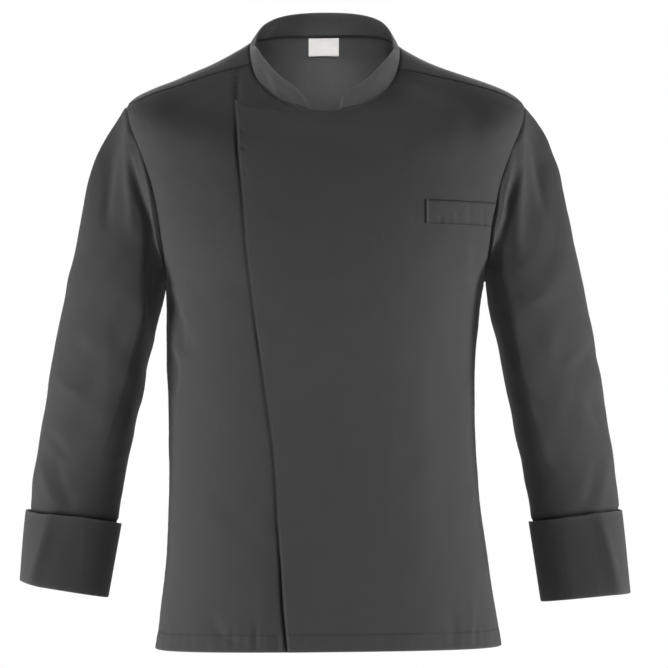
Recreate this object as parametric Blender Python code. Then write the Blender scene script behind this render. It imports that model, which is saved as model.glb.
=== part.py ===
"""A chef jacket with a stand collar, in the filled-out shape it has when worn.

Every cut piece is its own closed cloth wall. X runs to the wearer's left, the front
faces -Y and Z is up. The origin is the middle of the neck, at the height where the
collar meets the shoulders. Sizes below are in millimetres.
"""

import bpy
import numpy as np

MM = 0.001

# Cloth and seams
CLOTH = 1.5
COLLAR_CLOTH = 2.0
CUFF_CLOTH = 2.0
WELT_CLOTH = 1.2
LABEL_CLOTH = 1.0
SEAM_GAP = 0.3
LAYER_GAP = 0.5

# The body's sections, from the hem up to the neck seam. A section is a closed line
# through the centre front, both sides and the centre back. "full" is how squarely it
# turns the corners, "hang" how far round to the side it keeps the height it has at
# the centre, "ridge" how far the cloth stands up along the side and shoulder, and
# "tilt" how far the wearer's left side is raised and the right side lowered.
BODY_COLUMNS = (
    "end_z_front", "end_y_front", "side_z", "half_width", "end_z_back", "end_y_back",
    "middle_x", "full", "hang_front", "hang_back", "ridge", "tilt",
)
BODY_SECTIONS = (
    (-700, -121, -703, 207, -703, 111, 3.0, 0.60, 0.0, 0.0, 0, 2),
    (-620, -117, -620, 195, -620, 102, 1.0, 0.60, 0.0, 0.0, 0, 0),
    (-540, -115, -540, 187, -540, 94, -2.0, 0.60, 0.0, 0.0, 0, 0),
    (-460, -116, -460, 183.5, -460, 91, -4.5, 0.60, 0.0, 0.0, 0, 0),
    (-380, -121, -380, 184, -380, 98, -6.5, 0.60, 0.0, 0.0, 0, 0),
    (-322, -127, -320, 186.5, -322, 106, -4.5, 0.61, 0.0, 0.0, 0, 0),
    (-274, -130, -268, 191, -272, 113, -1.0, 0.62, 0.0, 0.0, 0, 0),
    (-232, -131, -220, 204, -222, 117, 0.0, 0.62, 0.0, 0.0, 0, 0),
    (-188, -128, -165, 217, -166, 118, 0.0, 0.62, 0.0, 0.0, 0, 0),
    (-149, -122, -110, 231, -112, 114, 0.0, 0.62, 0.0, 0.0, 3, 0),
    (-118, -114, -62, 238, -64, 106, 0.0, 0.62, 0.0, 0.0, 6, 0),
    (-96, -106, -38, 190, -24, 95, -0.5, 0.61, 0.1, 0.2, 10.5, 1),
    (-79, -98, -16, 136, 8, 81, -1.0, 0.59, 0.3, 0.5, 9.5, -1.5),
    (-67, -88, 5, 90, 33, 62, -1.5, 0.56, 0.6, 0.85, 6.5, -3.5),
)
RIDGE_SPREAD = 0.24
UNDERARM, SHOULDER, NECK = 6.0, 10.0, 13.0
BACK_CENTRE = 2.0

# The armhole's width and the shoulder seam's place, in quarter turns round the body
ARMHOLE_FRONT, ARMHOLE_BACK = 0.27, 0.25
SHOULDER_SEAM_FORWARD = 0.14

# The fronts cross the centre, the wearer's left over the right, and end at slanting
# edges. Past the centre their top edge falls away from the neck seam.
FLAP_TOP_X, FLAP_HEM_X = -106, -43.5
UNDERLAP_TOP_X, UNDERLAP_HEM_X = 108, 59
EDGE_TOP_Z, HEM_Z = -50, -703
TOP_EDGE_RISE, TOP_EDGE_BEND = 44, 3
CROSSING_START, CROSSING = 0.12, 0.22

# The collar's upper edge, as one more section, and its rounded ends at the front
COLLAR_TOP = (-46, -95, 12, 83, 61, 50, -1.5, 0.68, 0.0, 0.8, 0, -2)
COLLAR_TOP_FORWARD, COLLAR_FORWARD_SPREAD = 30, 0.45
COLLAR_BOW = 1.5
COLLAR_END_TURN, COLLAR_ROUND_TURN, COLLAR_END_HEIGHT = 0.13, 0.26, 0.14

# The welt on the chest and the label inside the neck
WELT_TURN, WELT_TOP_Z, WELT_BOTTOM_Z = 0.335, -171, -195
WELT_SHORT_OF_SEAM = 0.012
LABEL_WIDTH, LABEL_BOTTOM_Z = 37, 10

# The sleeves, along the arm from just under the armhole
SLEEVE_COLUMNS = ("x", "y", "z", "half_width", "half_depth")
SLEEVE_SECTIONS = (
    (251, 6, -282, 58.5, 66),
    (264, 8, -340, 57.5, 64),
    (276.5, 9, -404, 56.5, 60),
    (288, 7, -468, 55.0, 56),
    (297.5, 4, -530, 53.5, 53),
    (305, 1, -585, 52.0, 50),
    (313, -2, -650, 51.5, 48),
)
CAP_START_PULL, CAP_END_PULL = 0.95, 1.0
CAP_TURNS_TO_ARM, CAP_RISE = 0.35, 0.22

# Folds of the sleeves, by the angle round the arm (front 90, top 180, back 270) and
# the place along it at each end. Each has a half width in degrees and a height, which
# fades out toward both ends.
FOLD_COLUMNS = ("angle", "end_angle", "start", "end", "half_width", "height")
FOLDS = (
    (138, 120, 0.10, 2.8, 12, 3.2),
    (168, 150, 0.10, 2.1, 12, 2.2),
    (108, 86, 0.12, 2.3, 13, -4.0),
    (80, 60, 0.25, 1.5, 10, 2.0),
    (220, 240, 0.10, 2.6, 13, 3.0),
    (250, 276, 0.15, 2.0, 13, -3.5),
    (190, 205, 0.40, 3.2, 12, -1.6),
)
FOLD_FADE = 1.5

# What differs between the sleeves: the side, how far the arm stands out and by how much
# more at the wrist, the sleeve's end, and the cuff's depth and its gap at the top
SLEEVES = {
    "right": {"side": -1, "out": 2.2, "spread": 1.0, "end_z": -632,
              "cuff_depth": 83, "cuff_gap": 3.2},
    "left": {"side": 1, "out": 0.8, "spread": -1.8, "end_z": -643,
             "cuff_depth": 95, "cuff_gap": 1.6},
}
WRIST_GAP = 0.7
CUFF_BOW, CUFF_FOLD_ROUNDING = 0.6, 0.4

# Mesh density
BODY_ROWS, ARMHOLE_ROWS, YOKE_ROWS = 10, 14, 7
BACK_COLUMNS, FRONT_COLUMNS = 29, 21
SLEEVE_AROUND, CAP_ROWS, SLEEVE_ROWS = 2 * ARMHOLE_ROWS, 8, 12
COLLAR_COLUMNS, COLLAR_ROWS = 44, 4
WELT_GRID, LABEL_GRID = (3, 7), (4, 5)
SEARCH_STEPS = 30
TOP_EDGE_STEPS = 41
TINY = 1e-3
SHARP_ANGLE = 50

# Colours, as linear red, green and blue, and roughnesses
CHARCOAL = (0.060, 0.060, 0.062)
CHARCOAL_DEEP = (0.045, 0.045, 0.047)
WHITE = (0.80, 0.79, 0.77)
TWILL_ROUGHNESS, TAPE_ROUGHNESS = 0.85, 0.7


def spline(rows, at):
    """Smooth curves through numbered rows, one for each column, read at any numbers."""
    rows = np.asarray(rows, float)
    count = len(rows)
    system = np.eye(count)
    right = np.zeros_like(rows)
    for i in range(1, count - 1):
        system[i, i - 1:i + 2] = (1, 4, 1)
        right[i] = 6 * (rows[i - 1] - 2 * rows[i] + rows[i + 1])
    bends = np.linalg.solve(system, right)
    at = np.asarray(at, float)
    low = np.clip(np.floor(at).astype(int), 0, count - 2)
    f = (at - low)[..., None]
    g = 1 - f
    curve = (g ** 3 - g) * bends[low] + (f ** 3 - f) * bends[low + 1]
    return g * rows[low] + f * rows[low + 1] + curve / 6


def named(names, values):
    return {name: values[..., i] for i, name in enumerate(names)}


def smooth_step(x):
    x = np.clip(x, 0, 1)
    return x * x * (3 - 2 * x)


def unit(v):
    return v / np.linalg.norm(v, axis=-1, keepdims=True)


def find(is_short, low, high):
    """The value between low and high at which is_short stops being true."""
    for _ in range(SEARCH_STEPS):
        middle = (low + high) / 2
        short = is_short(middle)
        low = np.where(short, middle, low)
        high = np.where(short, high, middle)
    return (low + high) / 2


def normals(surface, first, second):
    """Unit normals of a surface of two variables, from small steps on it."""
    along_first = surface(first + TINY, second) - surface(first - TINY, second)
    along_second = surface(first, second + TINY) - surface(first, second - TINY)
    return unit(np.cross(along_first, along_second))


# ---- the body's surface ----


def ring(turn, row):
    """A point of a section. turn is 0 at the centre front, 1 and -1 at the wearer's
    left and right side, 2 at the centre back."""
    turn = np.mod(turn + 2, 4) - 2
    away = np.abs(turn)
    in_front = away <= 1
    u = np.where(in_front, away, 2 - away)
    b0 = (1 - u) ** 3
    b1 = 3 * u * (1 - u) ** 2
    b2 = 3 * u * u * (1 - u)
    b3 = u ** 3
    end_y = np.where(in_front, row["end_y_front"], row["end_y_back"])
    end_z = np.where(in_front, row["end_z_front"], row["end_z_back"])
    hang = np.where(in_front, row["hang_front"], row["hang_back"])
    end_share = b0 + b1 + hang * b2
    x = row["half_width"] * (row["full"] * b1 + b2 + b3)
    y = end_y * (b0 + b1 + row["full"] * b2)
    z = end_z * end_share + row["side_z"] * (1 - end_share)
    across = np.sign(turn) * x
    z = z + row["ridge"] * np.exp(-((1 - u) / RIDGE_SPREAD) ** 2)
    z = z + row["tilt"] * across / row["half_width"]
    return np.stack([row["middle_x"] + across, y, z], axis=-1)


def body_point(turn, section):
    turn, section = np.broadcast_arrays(turn, section)
    return ring(turn, named(BODY_COLUMNS, spline(BODY_SECTIONS, section)))


def body_normal(turn, section):
    return normals(body_point, turn, section)


def side_edge(section, bow_width):
    """The turn at which a panel ends at the side: the side seam, the armhole, whose bow
    is bow_width forward or back, and the shoulder seam."""
    rise = np.clip((section - UNDERARM) / (SHOULDER - UNDERARM), 0, 1)
    bow = np.sqrt(np.maximum(0, 1 - (2 * rise - 1) ** 2))
    forward = np.clip((section - SHOULDER) / (NECK - SHOULDER), 0, 1)
    return 1 + bow_width * bow - SHOULDER_SEAM_FORWARD * forward


def top_edge_sections():
    """The section at which a front's top edge lies, at even steps past the centre."""
    past = np.linspace(0, 1, TOP_EDGE_STEPS)
    neck_z = BODY_SECTIONS[-1][BODY_COLUMNS.index("end_z_front")]
    wanted = neck_z + TOP_EDGE_RISE * past ** TOP_EDGE_BEND
    low = np.full(past.shape, SHOULDER)
    high = np.full(past.shape, NECK)
    return find(lambda section: body_point(past, section)[..., 2] < wanted, low, high)


def lowered(past, section):
    """The section at which a row of a front lies when it is past the centre."""
    yoke = np.clip((section - SHOULDER) / (NECK - SHOULDER), 0, 1)
    steps = np.linspace(0, 1, TOP_EDGE_STEPS)
    fall = NECK - np.interp(np.clip(past, 0, 1), steps, top_edge_sections())
    return section - fall * yoke


def front_edge(section, side, top_x, hem_x):
    """How many turns past the centre a front ends, from the slant of its edge."""
    def is_short(past):
        point = body_point(side * past, lowered(past, section))
        share = (EDGE_TOP_Z - point[..., 2]) / (EDGE_TOP_Z - HEM_Z)
        wanted = top_x + (hem_x - top_x) * np.clip(share, 0, 1)
        return side * (point[..., 0] - wanted) < 0
    return find(is_short, np.zeros_like(section), np.ones_like(section))


def layer_lift(turn, section):
    """How far the wearer's left front stands off the body to clear the underlap."""
    section = np.asarray(section, float)
    underlap = front_edge(section, 1, UNDERLAP_TOP_X, UNDERLAP_HEM_X)
    beyond = turn - underlap - CROSSING_START
    return (CLOTH + LAYER_GAP) * (1 - smooth_step(beyond / CROSSING))


# ---- the sleeves' surface ----


def arm_ring(sleeve, around, along, out=0.0):
    """A point round the arm, and the arm's direction there. along is 1 at the first
    section. around is 0 under the arm and grows by way of the front."""
    side = sleeve["side"]
    row = named(SLEEVE_COLUMNS, spline(SLEEVE_SECTIONS, along - 1))
    reach = (along - 1) / (len(SLEEVE_SECTIONS) - 1)
    middle_x = row["x"] + sleeve["out"] + sleeve["spread"] * reach
    middle = np.stack([middle_x, row["y"], row["z"]], axis=-1)
    ahead = spline(SLEEVE_SECTIONS, along - 1 + TINY)[..., :3]
    arm = unit(ahead - spline(SLEEVE_SECTIONS, along - 1)[..., :3])
    outward = unit(np.stack([-arm[..., 2], np.zeros_like(row["x"]), arm[..., 0]], axis=-1))
    forward = np.cross(arm, outward)
    width = -np.cos(around) * (row["half_width"] + out)
    depth = np.sin(around) * (row["half_depth"] + out)
    point = middle + outward * width[..., None] + forward * depth[..., None]
    mirror = np.array([side, 1, 1])
    return point * mirror, arm * mirror


def armhole(side, around):
    rise = (1 - np.cos(around)) / 2
    section = UNDERARM + (SHOULDER - UNDERARM) * rise
    bow = np.where(np.sin(around) > 0, ARMHOLE_FRONT, ARMHOLE_BACK) * np.sin(around)
    return side * (1 - bow), section


def sleeve_smooth(sleeve, around, along):
    """The sleeve without its folds: the cap for along from 0 to 1, then the arm."""
    side = sleeve["side"]
    around, along = np.broadcast_arrays(around, along)
    arm_point, _ = arm_ring(sleeve, around, np.maximum(along, 1))
    start = body_point(*armhole(side, around))
    ahead = body_point(*armhole(side, around + TINY))
    normal = body_normal(*armhole(side, around))
    leave = unit(np.cross(ahead - start, normal)) * side
    leave = leave + normal * (CAP_RISE * (1 - np.cos(around)) / 2)[..., None]
    end, arm = arm_ring(sleeve, around, np.ones_like(along))
    reach = np.linalg.norm(end - start, axis=-1, keepdims=True)
    bend = CAP_TURNS_TO_ARM * np.abs(np.sin(around))[..., None]
    leave = unit(leave * (1 - bend) + unit(end - start) * bend)
    w = along[..., None]
    cap = (
        start * (1 + 2 * w) * (1 - w) ** 2
        + leave * reach * CAP_START_PULL * w * (1 - w) ** 2
        + end * w * w * (3 - 2 * w)
        - arm * reach * CAP_END_PULL * w * w * (1 - w)
    )
    return np.where(w < 1, cap, arm_point)


def fold_height(around, along):
    """How far the folds move the sleeve's surface out, or in where it is negative."""
    total = np.zeros(np.broadcast(around, along).shape)
    for fold in FOLDS:
        row = dict(zip(FOLD_COLUMNS, fold))
        share = (along - row["start"]) / (row["end"] - row["start"])
        angle = row["angle"] + (row["end_angle"] - row["angle"]) * share
        from_middle = (np.degrees(around) - angle) / row["half_width"]
        inside = np.sin(np.pi * np.clip(share, 0, 1)) ** FOLD_FADE
        total += row["height"] * inside * np.exp(-from_middle ** 2)
    return total


def sleeve_point(sleeve, around, along):
    def smooth(a, b):
        return sleeve_smooth(sleeve, a, b)
    normal = normals(smooth, around, along) * -sleeve["side"]
    return smooth(around, along) + normal * fold_height(around, along)[..., None]


def along_at(z):
    """The place along the arm whose middle is at this height."""
    rows = np.array(SLEEVE_SECTIONS, float)[:, 2]
    return 1 + np.interp(-z, -rows, np.arange(len(rows)))


# ---- walls ----


def edge_shift(line, next_line, normal):
    """Moves the edge of a panel in by half a seam gap, along its own surface."""
    inward = unit(np.cross(normal, np.gradient(line, axis=0)))
    sign = np.sign(np.sum(inward * (next_line - line), axis=-1, keepdims=True))
    return inward * sign * SEAM_GAP / 2


def trimmed(points, normal, around):
    """The panel's points with all its free edges moved in."""
    shift = np.zeros_like(points)
    shift[0] += edge_shift(points[0], points[1], normal[0])
    shift[-1] += edge_shift(points[-1], points[-2], normal[-1])
    if not around:
        shift[:, 0] += edge_shift(points[:, 0], points[:, 1], normal[:, 0])
        shift[:, -1] += edge_shift(points[:, -1], points[:, -2], normal[:, -1])
    return points + shift


def add_mesh(name, vertices, faces, material):
    mesh = bpy.data.meshes.new(name)
    mesh.from_pydata((vertices * MM).tolist(), [], faces)
    mesh.materials.append(material)
    mesh.shade_smooth()
    mesh.set_sharp_from_angle(angle=np.radians(SHARP_ANGLE))
    piece = bpy.data.objects.new(name, mesh)
    bpy.context.scene.collection.objects.link(piece)
    return piece


def grid_quads(rows, columns, around, start, flip):
    quads = []
    for i in range(rows - 1):
        for j in range(columns if around else columns - 1):
            k = (j + 1) % columns
            quad = (i * columns + j, i * columns + k,
                    (i + 1) * columns + k, (i + 1) * columns + j)
            quad = tuple(start + corner for corner in quad)
            quads.append(quad[::-1] if flip else quad)
    return quads


def add_wall(name, points, normal, thickness, material, around=False):
    """A closed cloth wall inward from a grid of points on its outer face. Rows run
    along the first axis, and columns close into a tube where around is true."""
    points = trimmed(points, normal, around)
    rows, columns = points.shape[:2]
    inner = points - normal * thickness
    count = rows * columns
    flip = outward_is_flipped(points, normal)
    faces = grid_quads(rows, columns, around, 0, flip)
    faces += grid_quads(rows, columns, around, count, not flip)
    rims = [[(0, j) for j in range(columns)], [(rows - 1, j) for j in range(columns)]]
    if around:
        rims = [rim + rim[:1] for rim in rims]
    else:
        rims += [[(i, 0) for i in range(rows)], [(i, columns - 1) for i in range(rows)]]
    for number, rim in enumerate(rims):
        turned = (number in (0, 3)) != flip
        for (i, j), (k, m) in zip(rim, rim[1:]):
            first, second = i * columns + j, k * columns + m
            quad = (first, second, second + count, first + count)
            faces.append(quad[::-1] if turned else quad)
    vertices = np.concatenate([points.reshape(-1, 3), inner.reshape(-1, 3)])
    return add_mesh(name, vertices, faces, material)


def outward_is_flipped(points, normal):
    across = points[:-1, 1:] - points[:-1, :-1]
    up = points[1:, :-1] - points[:-1, :-1]
    facing = np.sum(np.cross(across, up) * normal[:-1, :-1], axis=-1)
    return bool(facing.sum() < 0)


def add_cloth_material(name, colour, roughness):
    material = bpy.data.materials.new(name)
    material.use_nodes = True
    shader = material.node_tree.nodes["Principled BSDF"]
    shader.inputs["Base Color"].default_value = (*colour, 1)
    shader.inputs["Roughness"].default_value = roughness
    shader.inputs["Metallic"].default_value = 0
    return material


# ---- the pieces ----


def body_rows():
    """Even rows up to the underarm, rows that follow the armhole's bow, then the yoke."""
    hem_to_underarm = np.linspace(0, UNDERARM, BODY_ROWS + 1)
    bow = np.cos(np.linspace(0, np.pi, ARMHOLE_ROWS + 1))
    armhole_rows = UNDERARM + (SHOULDER - UNDERARM) * (1 - bow) / 2
    yoke = np.linspace(SHOULDER, NECK, YOKE_ROWS)
    return np.concatenate([hem_to_underarm, armhole_rows[1:], yoke[1:]])


def between(start, end, count):
    """A grid of turns: one row for each start and end, evenly spaced."""
    share = np.linspace(0, 1, count)
    return start[:, None] * (1 - share) + end[:, None] * share


def make_back(material):
    rows = body_rows()
    edge = side_edge(rows, ARMHOLE_BACK)
    turn = between(edge, 4 - edge, BACK_COLUMNS)
    section = np.broadcast_to(rows[:, None], turn.shape)
    add_wall("back", body_point(turn, section), body_normal(turn, section), CLOTH, material)


def make_front_right(material):
    rows = body_rows()
    underlap = front_edge(rows, 1, UNDERLAP_TOP_X, UNDERLAP_HEM_X)
    turn = between(-side_edge(rows, -ARMHOLE_FRONT), underlap, FRONT_COLUMNS)
    section = lowered(turn, rows[:, None])
    normal = body_normal(turn, section)
    add_wall("front_right", body_point(turn, section), normal, CLOTH, material)


def make_front_left(material):
    rows = body_rows()
    flap = front_edge(rows, -1, FLAP_TOP_X, FLAP_HEM_X)
    turn = between(-flap, side_edge(rows, -ARMHOLE_FRONT), FRONT_COLUMNS)
    section = lowered(-turn, rows[:, None])
    lift = layer_lift(turn, np.broadcast_to(rows[:, None], turn.shape))
    normal = body_normal(turn, section)
    points = body_point(turn, section) + normal * lift[..., None]
    add_wall("front_left", points, normal, CLOTH, material)


def collar_point(turn, height):
    turn, height = np.broadcast_arrays(turn, height)
    top = ring(turn, dict(zip(BODY_COLUMNS, COLLAR_TOP)))
    away = np.abs(np.mod(turn + 2, 4) - 2)
    forward = COLLAR_TOP_FORWARD * np.exp(-((away - 1) / COLLAR_FORWARD_SPREAD) ** 2)
    top = top - np.stack([np.zeros_like(away), forward, np.zeros_like(away)], axis=-1)
    base = body_point(turn, np.full(turn.shape, NECK))
    out = unit(base * (1, 1, 0))
    bow = COLLAR_BOW * 4 * height * (1 - height)
    return base + (top - base) * height[..., None] + out * bow[..., None]


def make_collar(material):
    """One strip round the neck, whose height falls to rounded ends at the front."""
    turn = np.linspace(COLLAR_END_TURN, 4 - COLLAR_END_TURN, COLLAR_COLUMNS)
    from_end = np.minimum(turn, 4 - turn) - COLLAR_END_TURN
    rounding = np.clip(1 - from_end / COLLAR_ROUND_TURN, 0, 1)
    reach = np.maximum(np.sqrt(1 - rounding ** 2), COLLAR_END_HEIGHT)
    height = np.linspace(0, 1, COLLAR_ROWS + 1)[:, None] * reach
    turn = np.broadcast_to(turn, height.shape)
    normal = normals(collar_point, turn, height)
    signed = np.mod(turn + 2, 4) - 2
    lift = np.where(signed > 0, layer_lift(np.abs(signed), np.full(turn.shape, NECK)), 0)
    seam_normal = body_normal(turn, np.full(turn.shape, NECK))
    points = collar_point(turn, height) + seam_normal * lift[..., None]
    add_wall("collar", points, normal, COLLAR_CLOTH, material)


def make_chest_welt(material):
    """A band that lies on the wearer's left front and ends at the armhole seam."""
    rows, count = WELT_GRID
    z = np.linspace(WELT_BOTTOM_Z, WELT_TOP_Z, rows)[:, None]
    share = np.linspace(0, 1, count)
    edge = side_edge((UNDERARM + SHOULDER) / 2, -ARMHOLE_FRONT) - WELT_SHORT_OF_SEAM
    turn = np.broadcast_to(WELT_TURN + (edge - WELT_TURN) * share, (rows, count))
    low = np.full(turn.shape, UNDERARM)
    high = np.full(turn.shape, SHOULDER)
    section = find(lambda s: body_point(turn, s)[..., 2] < z, low, high)
    lift = layer_lift(turn, section) + LAYER_GAP + WELT_CLOTH
    normal = body_normal(turn, section)
    points = body_point(turn, section) + normal * lift[..., None]
    add_wall("chest_welt", points, normal, WELT_CLOTH, material)


def make_neck_label(material):
    rows, count = LABEL_GRID
    top_z = BODY_SECTIONS[-1][BODY_COLUMNS.index("end_z_back")]
    z = np.linspace(LABEL_BOTTOM_Z, top_z - LABEL_CLOTH, rows)[:, None]
    x = np.linspace(LABEL_WIDTH, -LABEL_WIDTH, count) / 2
    middle = np.full((rows, count), BACK_CENTRE)
    low = np.full((rows, count), SHOULDER)
    high = np.full((rows, count), NECK)
    section = find(lambda s: body_point(middle, s)[..., 2] < z, low, high)
    turn = find(lambda t: body_point(t, section)[..., 0] > x, middle - 1, middle + 1)
    normal = body_normal(turn, section)
    points = body_point(turn, section) - normal * (CLOTH + LAYER_GAP)
    add_wall("neck_label", points, normal, LABEL_CLOTH, material)


def make_sleeve(name, sleeve, material):
    """The cap from the armhole seam, then the arm down to the wrist."""
    end = along_at(sleeve["end_z"])
    along = np.concatenate([np.linspace(0, 1, CAP_ROWS + 1),
                            np.linspace(1, end, SLEEVE_ROWS + 1)[1:]])[:, None]
    around = np.linspace(0, 2 * np.pi, SLEEVE_AROUND, endpoint=False)
    around, along = np.broadcast_arrays(around, along)

    def surface(a, b):
        return sleeve_point(sleeve, a, np.maximum(b, 0))
    normal = normals(surface, around, along) * -sleeve["side"]
    points = surface(around, along)
    add_wall("sleeve_" + name, points, normal, CLOTH, material, around=True)


def make_cuff(name, sleeve, material):
    """A band round the sleeve's end, closed over the wrist edge by its fold. A corner
    of its profile is a height above the sleeve's end and a distance out from it."""
    depth = sleeve["cuff_depth"]
    wrist, top, cloth = WRIST_GAP, sleeve["cuff_gap"], CUFF_CLOTH
    middle = (wrist + top) / 2 + CUFF_BOW
    corner = cloth * CUFF_FOLD_ROUNDING
    profile = (
        (-SEAM_GAP - cloth, -CLOTH),
        (-SEAM_GAP - cloth, wrist + corner),
        (-SEAM_GAP - corner, wrist + cloth),
        (depth / 2, middle + cloth),
        (depth, top + cloth),
        (depth, top),
        (depth / 2, middle),
        (-SEAM_GAP, wrist),
        (-SEAM_GAP, -CLOTH),
    )
    around = np.linspace(0, 2 * np.pi, SLEEVE_AROUND, endpoint=False)
    loops = []
    for height, out in profile:
        along = np.full(around.shape, along_at(sleeve["end_z"] + height))
        loops.append(arm_ring(sleeve, around, along, out)[0])
    vertices = np.concatenate(loops)
    rows = len(profile)
    faces = []
    for i in range(rows):
        for j in range(SLEEVE_AROUND):
            k = (j + 1) % SLEEVE_AROUND
            m = (i + 1) % rows
            quad = (i * SLEEVE_AROUND + j, i * SLEEVE_AROUND + k,
                    m * SLEEVE_AROUND + k, m * SLEEVE_AROUND + j)
            faces.append(quad if sleeve["side"] > 0 else quad[::-1])
    add_mesh("cuff_" + name, vertices, faces, material)


def main():
    for thing in list(bpy.data.objects):
        bpy.data.objects.remove(thing, do_unlink=True)
    cloth = add_cloth_material("charcoal_cloth", CHARCOAL, TWILL_ROUGHNESS)
    collar_cloth = add_cloth_material("charcoal_collar", CHARCOAL_DEEP, TWILL_ROUGHNESS)
    label_cloth = add_cloth_material("white_label", WHITE, TAPE_ROUGHNESS)
    make_back(cloth)
    make_front_right(cloth)
    make_front_left(cloth)
    make_collar(collar_cloth)
    make_chest_welt(cloth)
    make_neck_label(label_cloth)
    for name, sleeve in SLEEVES.items():
        make_sleeve(name, sleeve, cloth)
        make_cuff(name, sleeve, cloth)


main()
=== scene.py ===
"""The finished cloth of a chef jacket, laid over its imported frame.

X runs to the wearer's left, the front faces -Y and Z is up. Tables and sizes are in
millimetres, and meshes are made in metres. Each cut piece is a thin closed shell: an
outer face on the piece's own surface, an inner face, and a rounded edge between them.
"""

import bpy
import numpy as np
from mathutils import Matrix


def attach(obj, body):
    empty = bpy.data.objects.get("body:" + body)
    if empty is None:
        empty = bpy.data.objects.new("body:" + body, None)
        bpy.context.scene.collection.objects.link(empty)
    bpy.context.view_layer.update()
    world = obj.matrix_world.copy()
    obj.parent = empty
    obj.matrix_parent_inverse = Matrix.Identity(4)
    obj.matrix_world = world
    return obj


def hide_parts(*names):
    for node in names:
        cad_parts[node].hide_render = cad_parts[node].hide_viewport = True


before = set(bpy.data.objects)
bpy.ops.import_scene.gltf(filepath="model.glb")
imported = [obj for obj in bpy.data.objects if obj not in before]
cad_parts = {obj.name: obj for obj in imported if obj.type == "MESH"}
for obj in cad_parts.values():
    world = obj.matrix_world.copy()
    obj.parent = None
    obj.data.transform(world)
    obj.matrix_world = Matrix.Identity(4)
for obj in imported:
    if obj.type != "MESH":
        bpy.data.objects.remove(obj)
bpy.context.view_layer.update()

MM = 0.001

# ---- the jacket's sections, as its construction has them ----

BODY_COLUMNS = (
    "end_z_front", "end_y_front", "side_z", "half_width", "end_z_back", "end_y_back",
    "middle_x", "full", "hang_front", "hang_back", "ridge", "tilt",
)
BODY_SECTIONS = (
    (-700, -121, -703, 207, -703, 111, 3.0, 0.60, 0.0, 0.0, 0, 2),
    (-620, -117, -620, 195, -620, 102, 1.0, 0.60, 0.0, 0.0, 0, 0),
    (-540, -115, -540, 187, -540, 94, -2.0, 0.60, 0.0, 0.0, 0, 0),
    (-460, -116, -460, 183.5, -460, 91, -4.5, 0.60, 0.0, 0.0, 0, 0),
    (-380, -121, -380, 184, -380, 98, -6.5, 0.60, 0.0, 0.0, 0, 0),
    (-322, -127, -320, 186.5, -322, 106, -4.5, 0.61, 0.0, 0.0, 0, 0),
    (-274, -130, -268, 191, -272, 113, -1.0, 0.62, 0.0, 0.0, 0, 0),
    (-232, -131, -220, 204, -222, 117, 0.0, 0.62, 0.0, 0.0, 0, 0),
    (-188, -128, -165, 217, -166, 118, 0.0, 0.62, 0.0, 0.0, 0, 0),
    (-149, -122, -110, 231, -112, 114, 0.0, 0.62, 0.0, 0.0, 3, 0),
    (-118, -114, -62, 238, -64, 106, 0.0, 0.62, 0.0, 0.0, 6, 0),
    (-96, -106, -38, 190, -24, 95, -0.5, 0.61, 0.1, 0.2, 10.5, 1),
    (-79, -98, -16, 136, 8, 81, -1.0, 0.59, 0.3, 0.5, 9.5, -1.5),
    (-67, -88, 5, 90, 33, 62, -1.5, 0.56, 0.6, 1.05, 6.5, -3.5),
)
RIDGE_SPREAD = 0.24
TILT_LOST_BEHIND = 1.2
NECK_ROW = dict(zip(BODY_COLUMNS, BODY_SECTIONS[-1]))
UNDERARM, SHOULDER, NECK = 6.0, 10.0, 13.0
BACK_CENTRE = 2.0
ARMHOLE_FRONT, ARMHOLE_BACK = 0.27, 0.25
SHOULDER_SEAM_FORWARD, SHOULDER_SEAM_START = 0.16, 0.135
# Where the slanting front edges lie at the top and at the hem: the underlap's, on the
# wearer's left (1), and the flap's, on the wearer's right (-1)
FRONT_EDGES_X = {1: (108, 59), -1: (-106, -43.5)}
# How far the hanging flap's edge strays from its slant, at distances below the neck
FLAP_SWAY = (
    (60, -1.0), (120, -2.4), (170, -2.4), (230, -3.5), (285, -2.6), (345, 0.0), (400, 2.5),
    (460, 5.2), (500, 4.6), (545, 2.2), (600, 1.6), (650, 0.0), (703, 0.0),
)
EDGE_TOP_Z, HEM_Z = -50, -703
TOP_EDGE_RISE, TOP_EDGE_BEND = 44, 3
CROSSING_START, CROSSING = 0.12, 0.22
LAYER_STEP = 2.0

COLLAR_TOP = (-46, -95, 12, 83, 61, 50, -1.5, 0.68, 0.0, 0.8, 0, -2)
COLLAR_TOP_FORWARD, COLLAR_FORWARD_SPREAD = 30, 0.45
COLLAR_BOW = 1.5
COLLAR_END_TURN = 0.13
# How the wearer's left and right collar ends are rounded: over which turn, from what height
COLLAR_ENDS = {"left": (0.085, 0.74), "right": (0.15, 0.42)}
COLLAR_STITCH_INSET = 4.5

WELT_TURN, WELT_TOP_Z, WELT_BOTTOM_Z, WELT_FALL = 0.335, -171.5, -199.3, 1.6
WELT_SHORT_OF_SEAM, WELT_STITCH_INSET, WELT_ROUNDS = 0.012, 2.2, 3
# Puckers across the welt, and how far up it each of them reaches
WELT_PUCKERS = ((133, 0.32), (143, 0.35), (153, 0.5), (167, 1.1), (183, 0.7))
WELT_PUCKER_DEPTH, WELT_PUCKER_WIDTH = 1.05, 2.1
LABEL_WIDTH, LABEL_BOTTOM_Z, LABEL_MIDDLE_X, LABEL_STITCH_INSET = 37, 12, -3, 2.0

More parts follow.
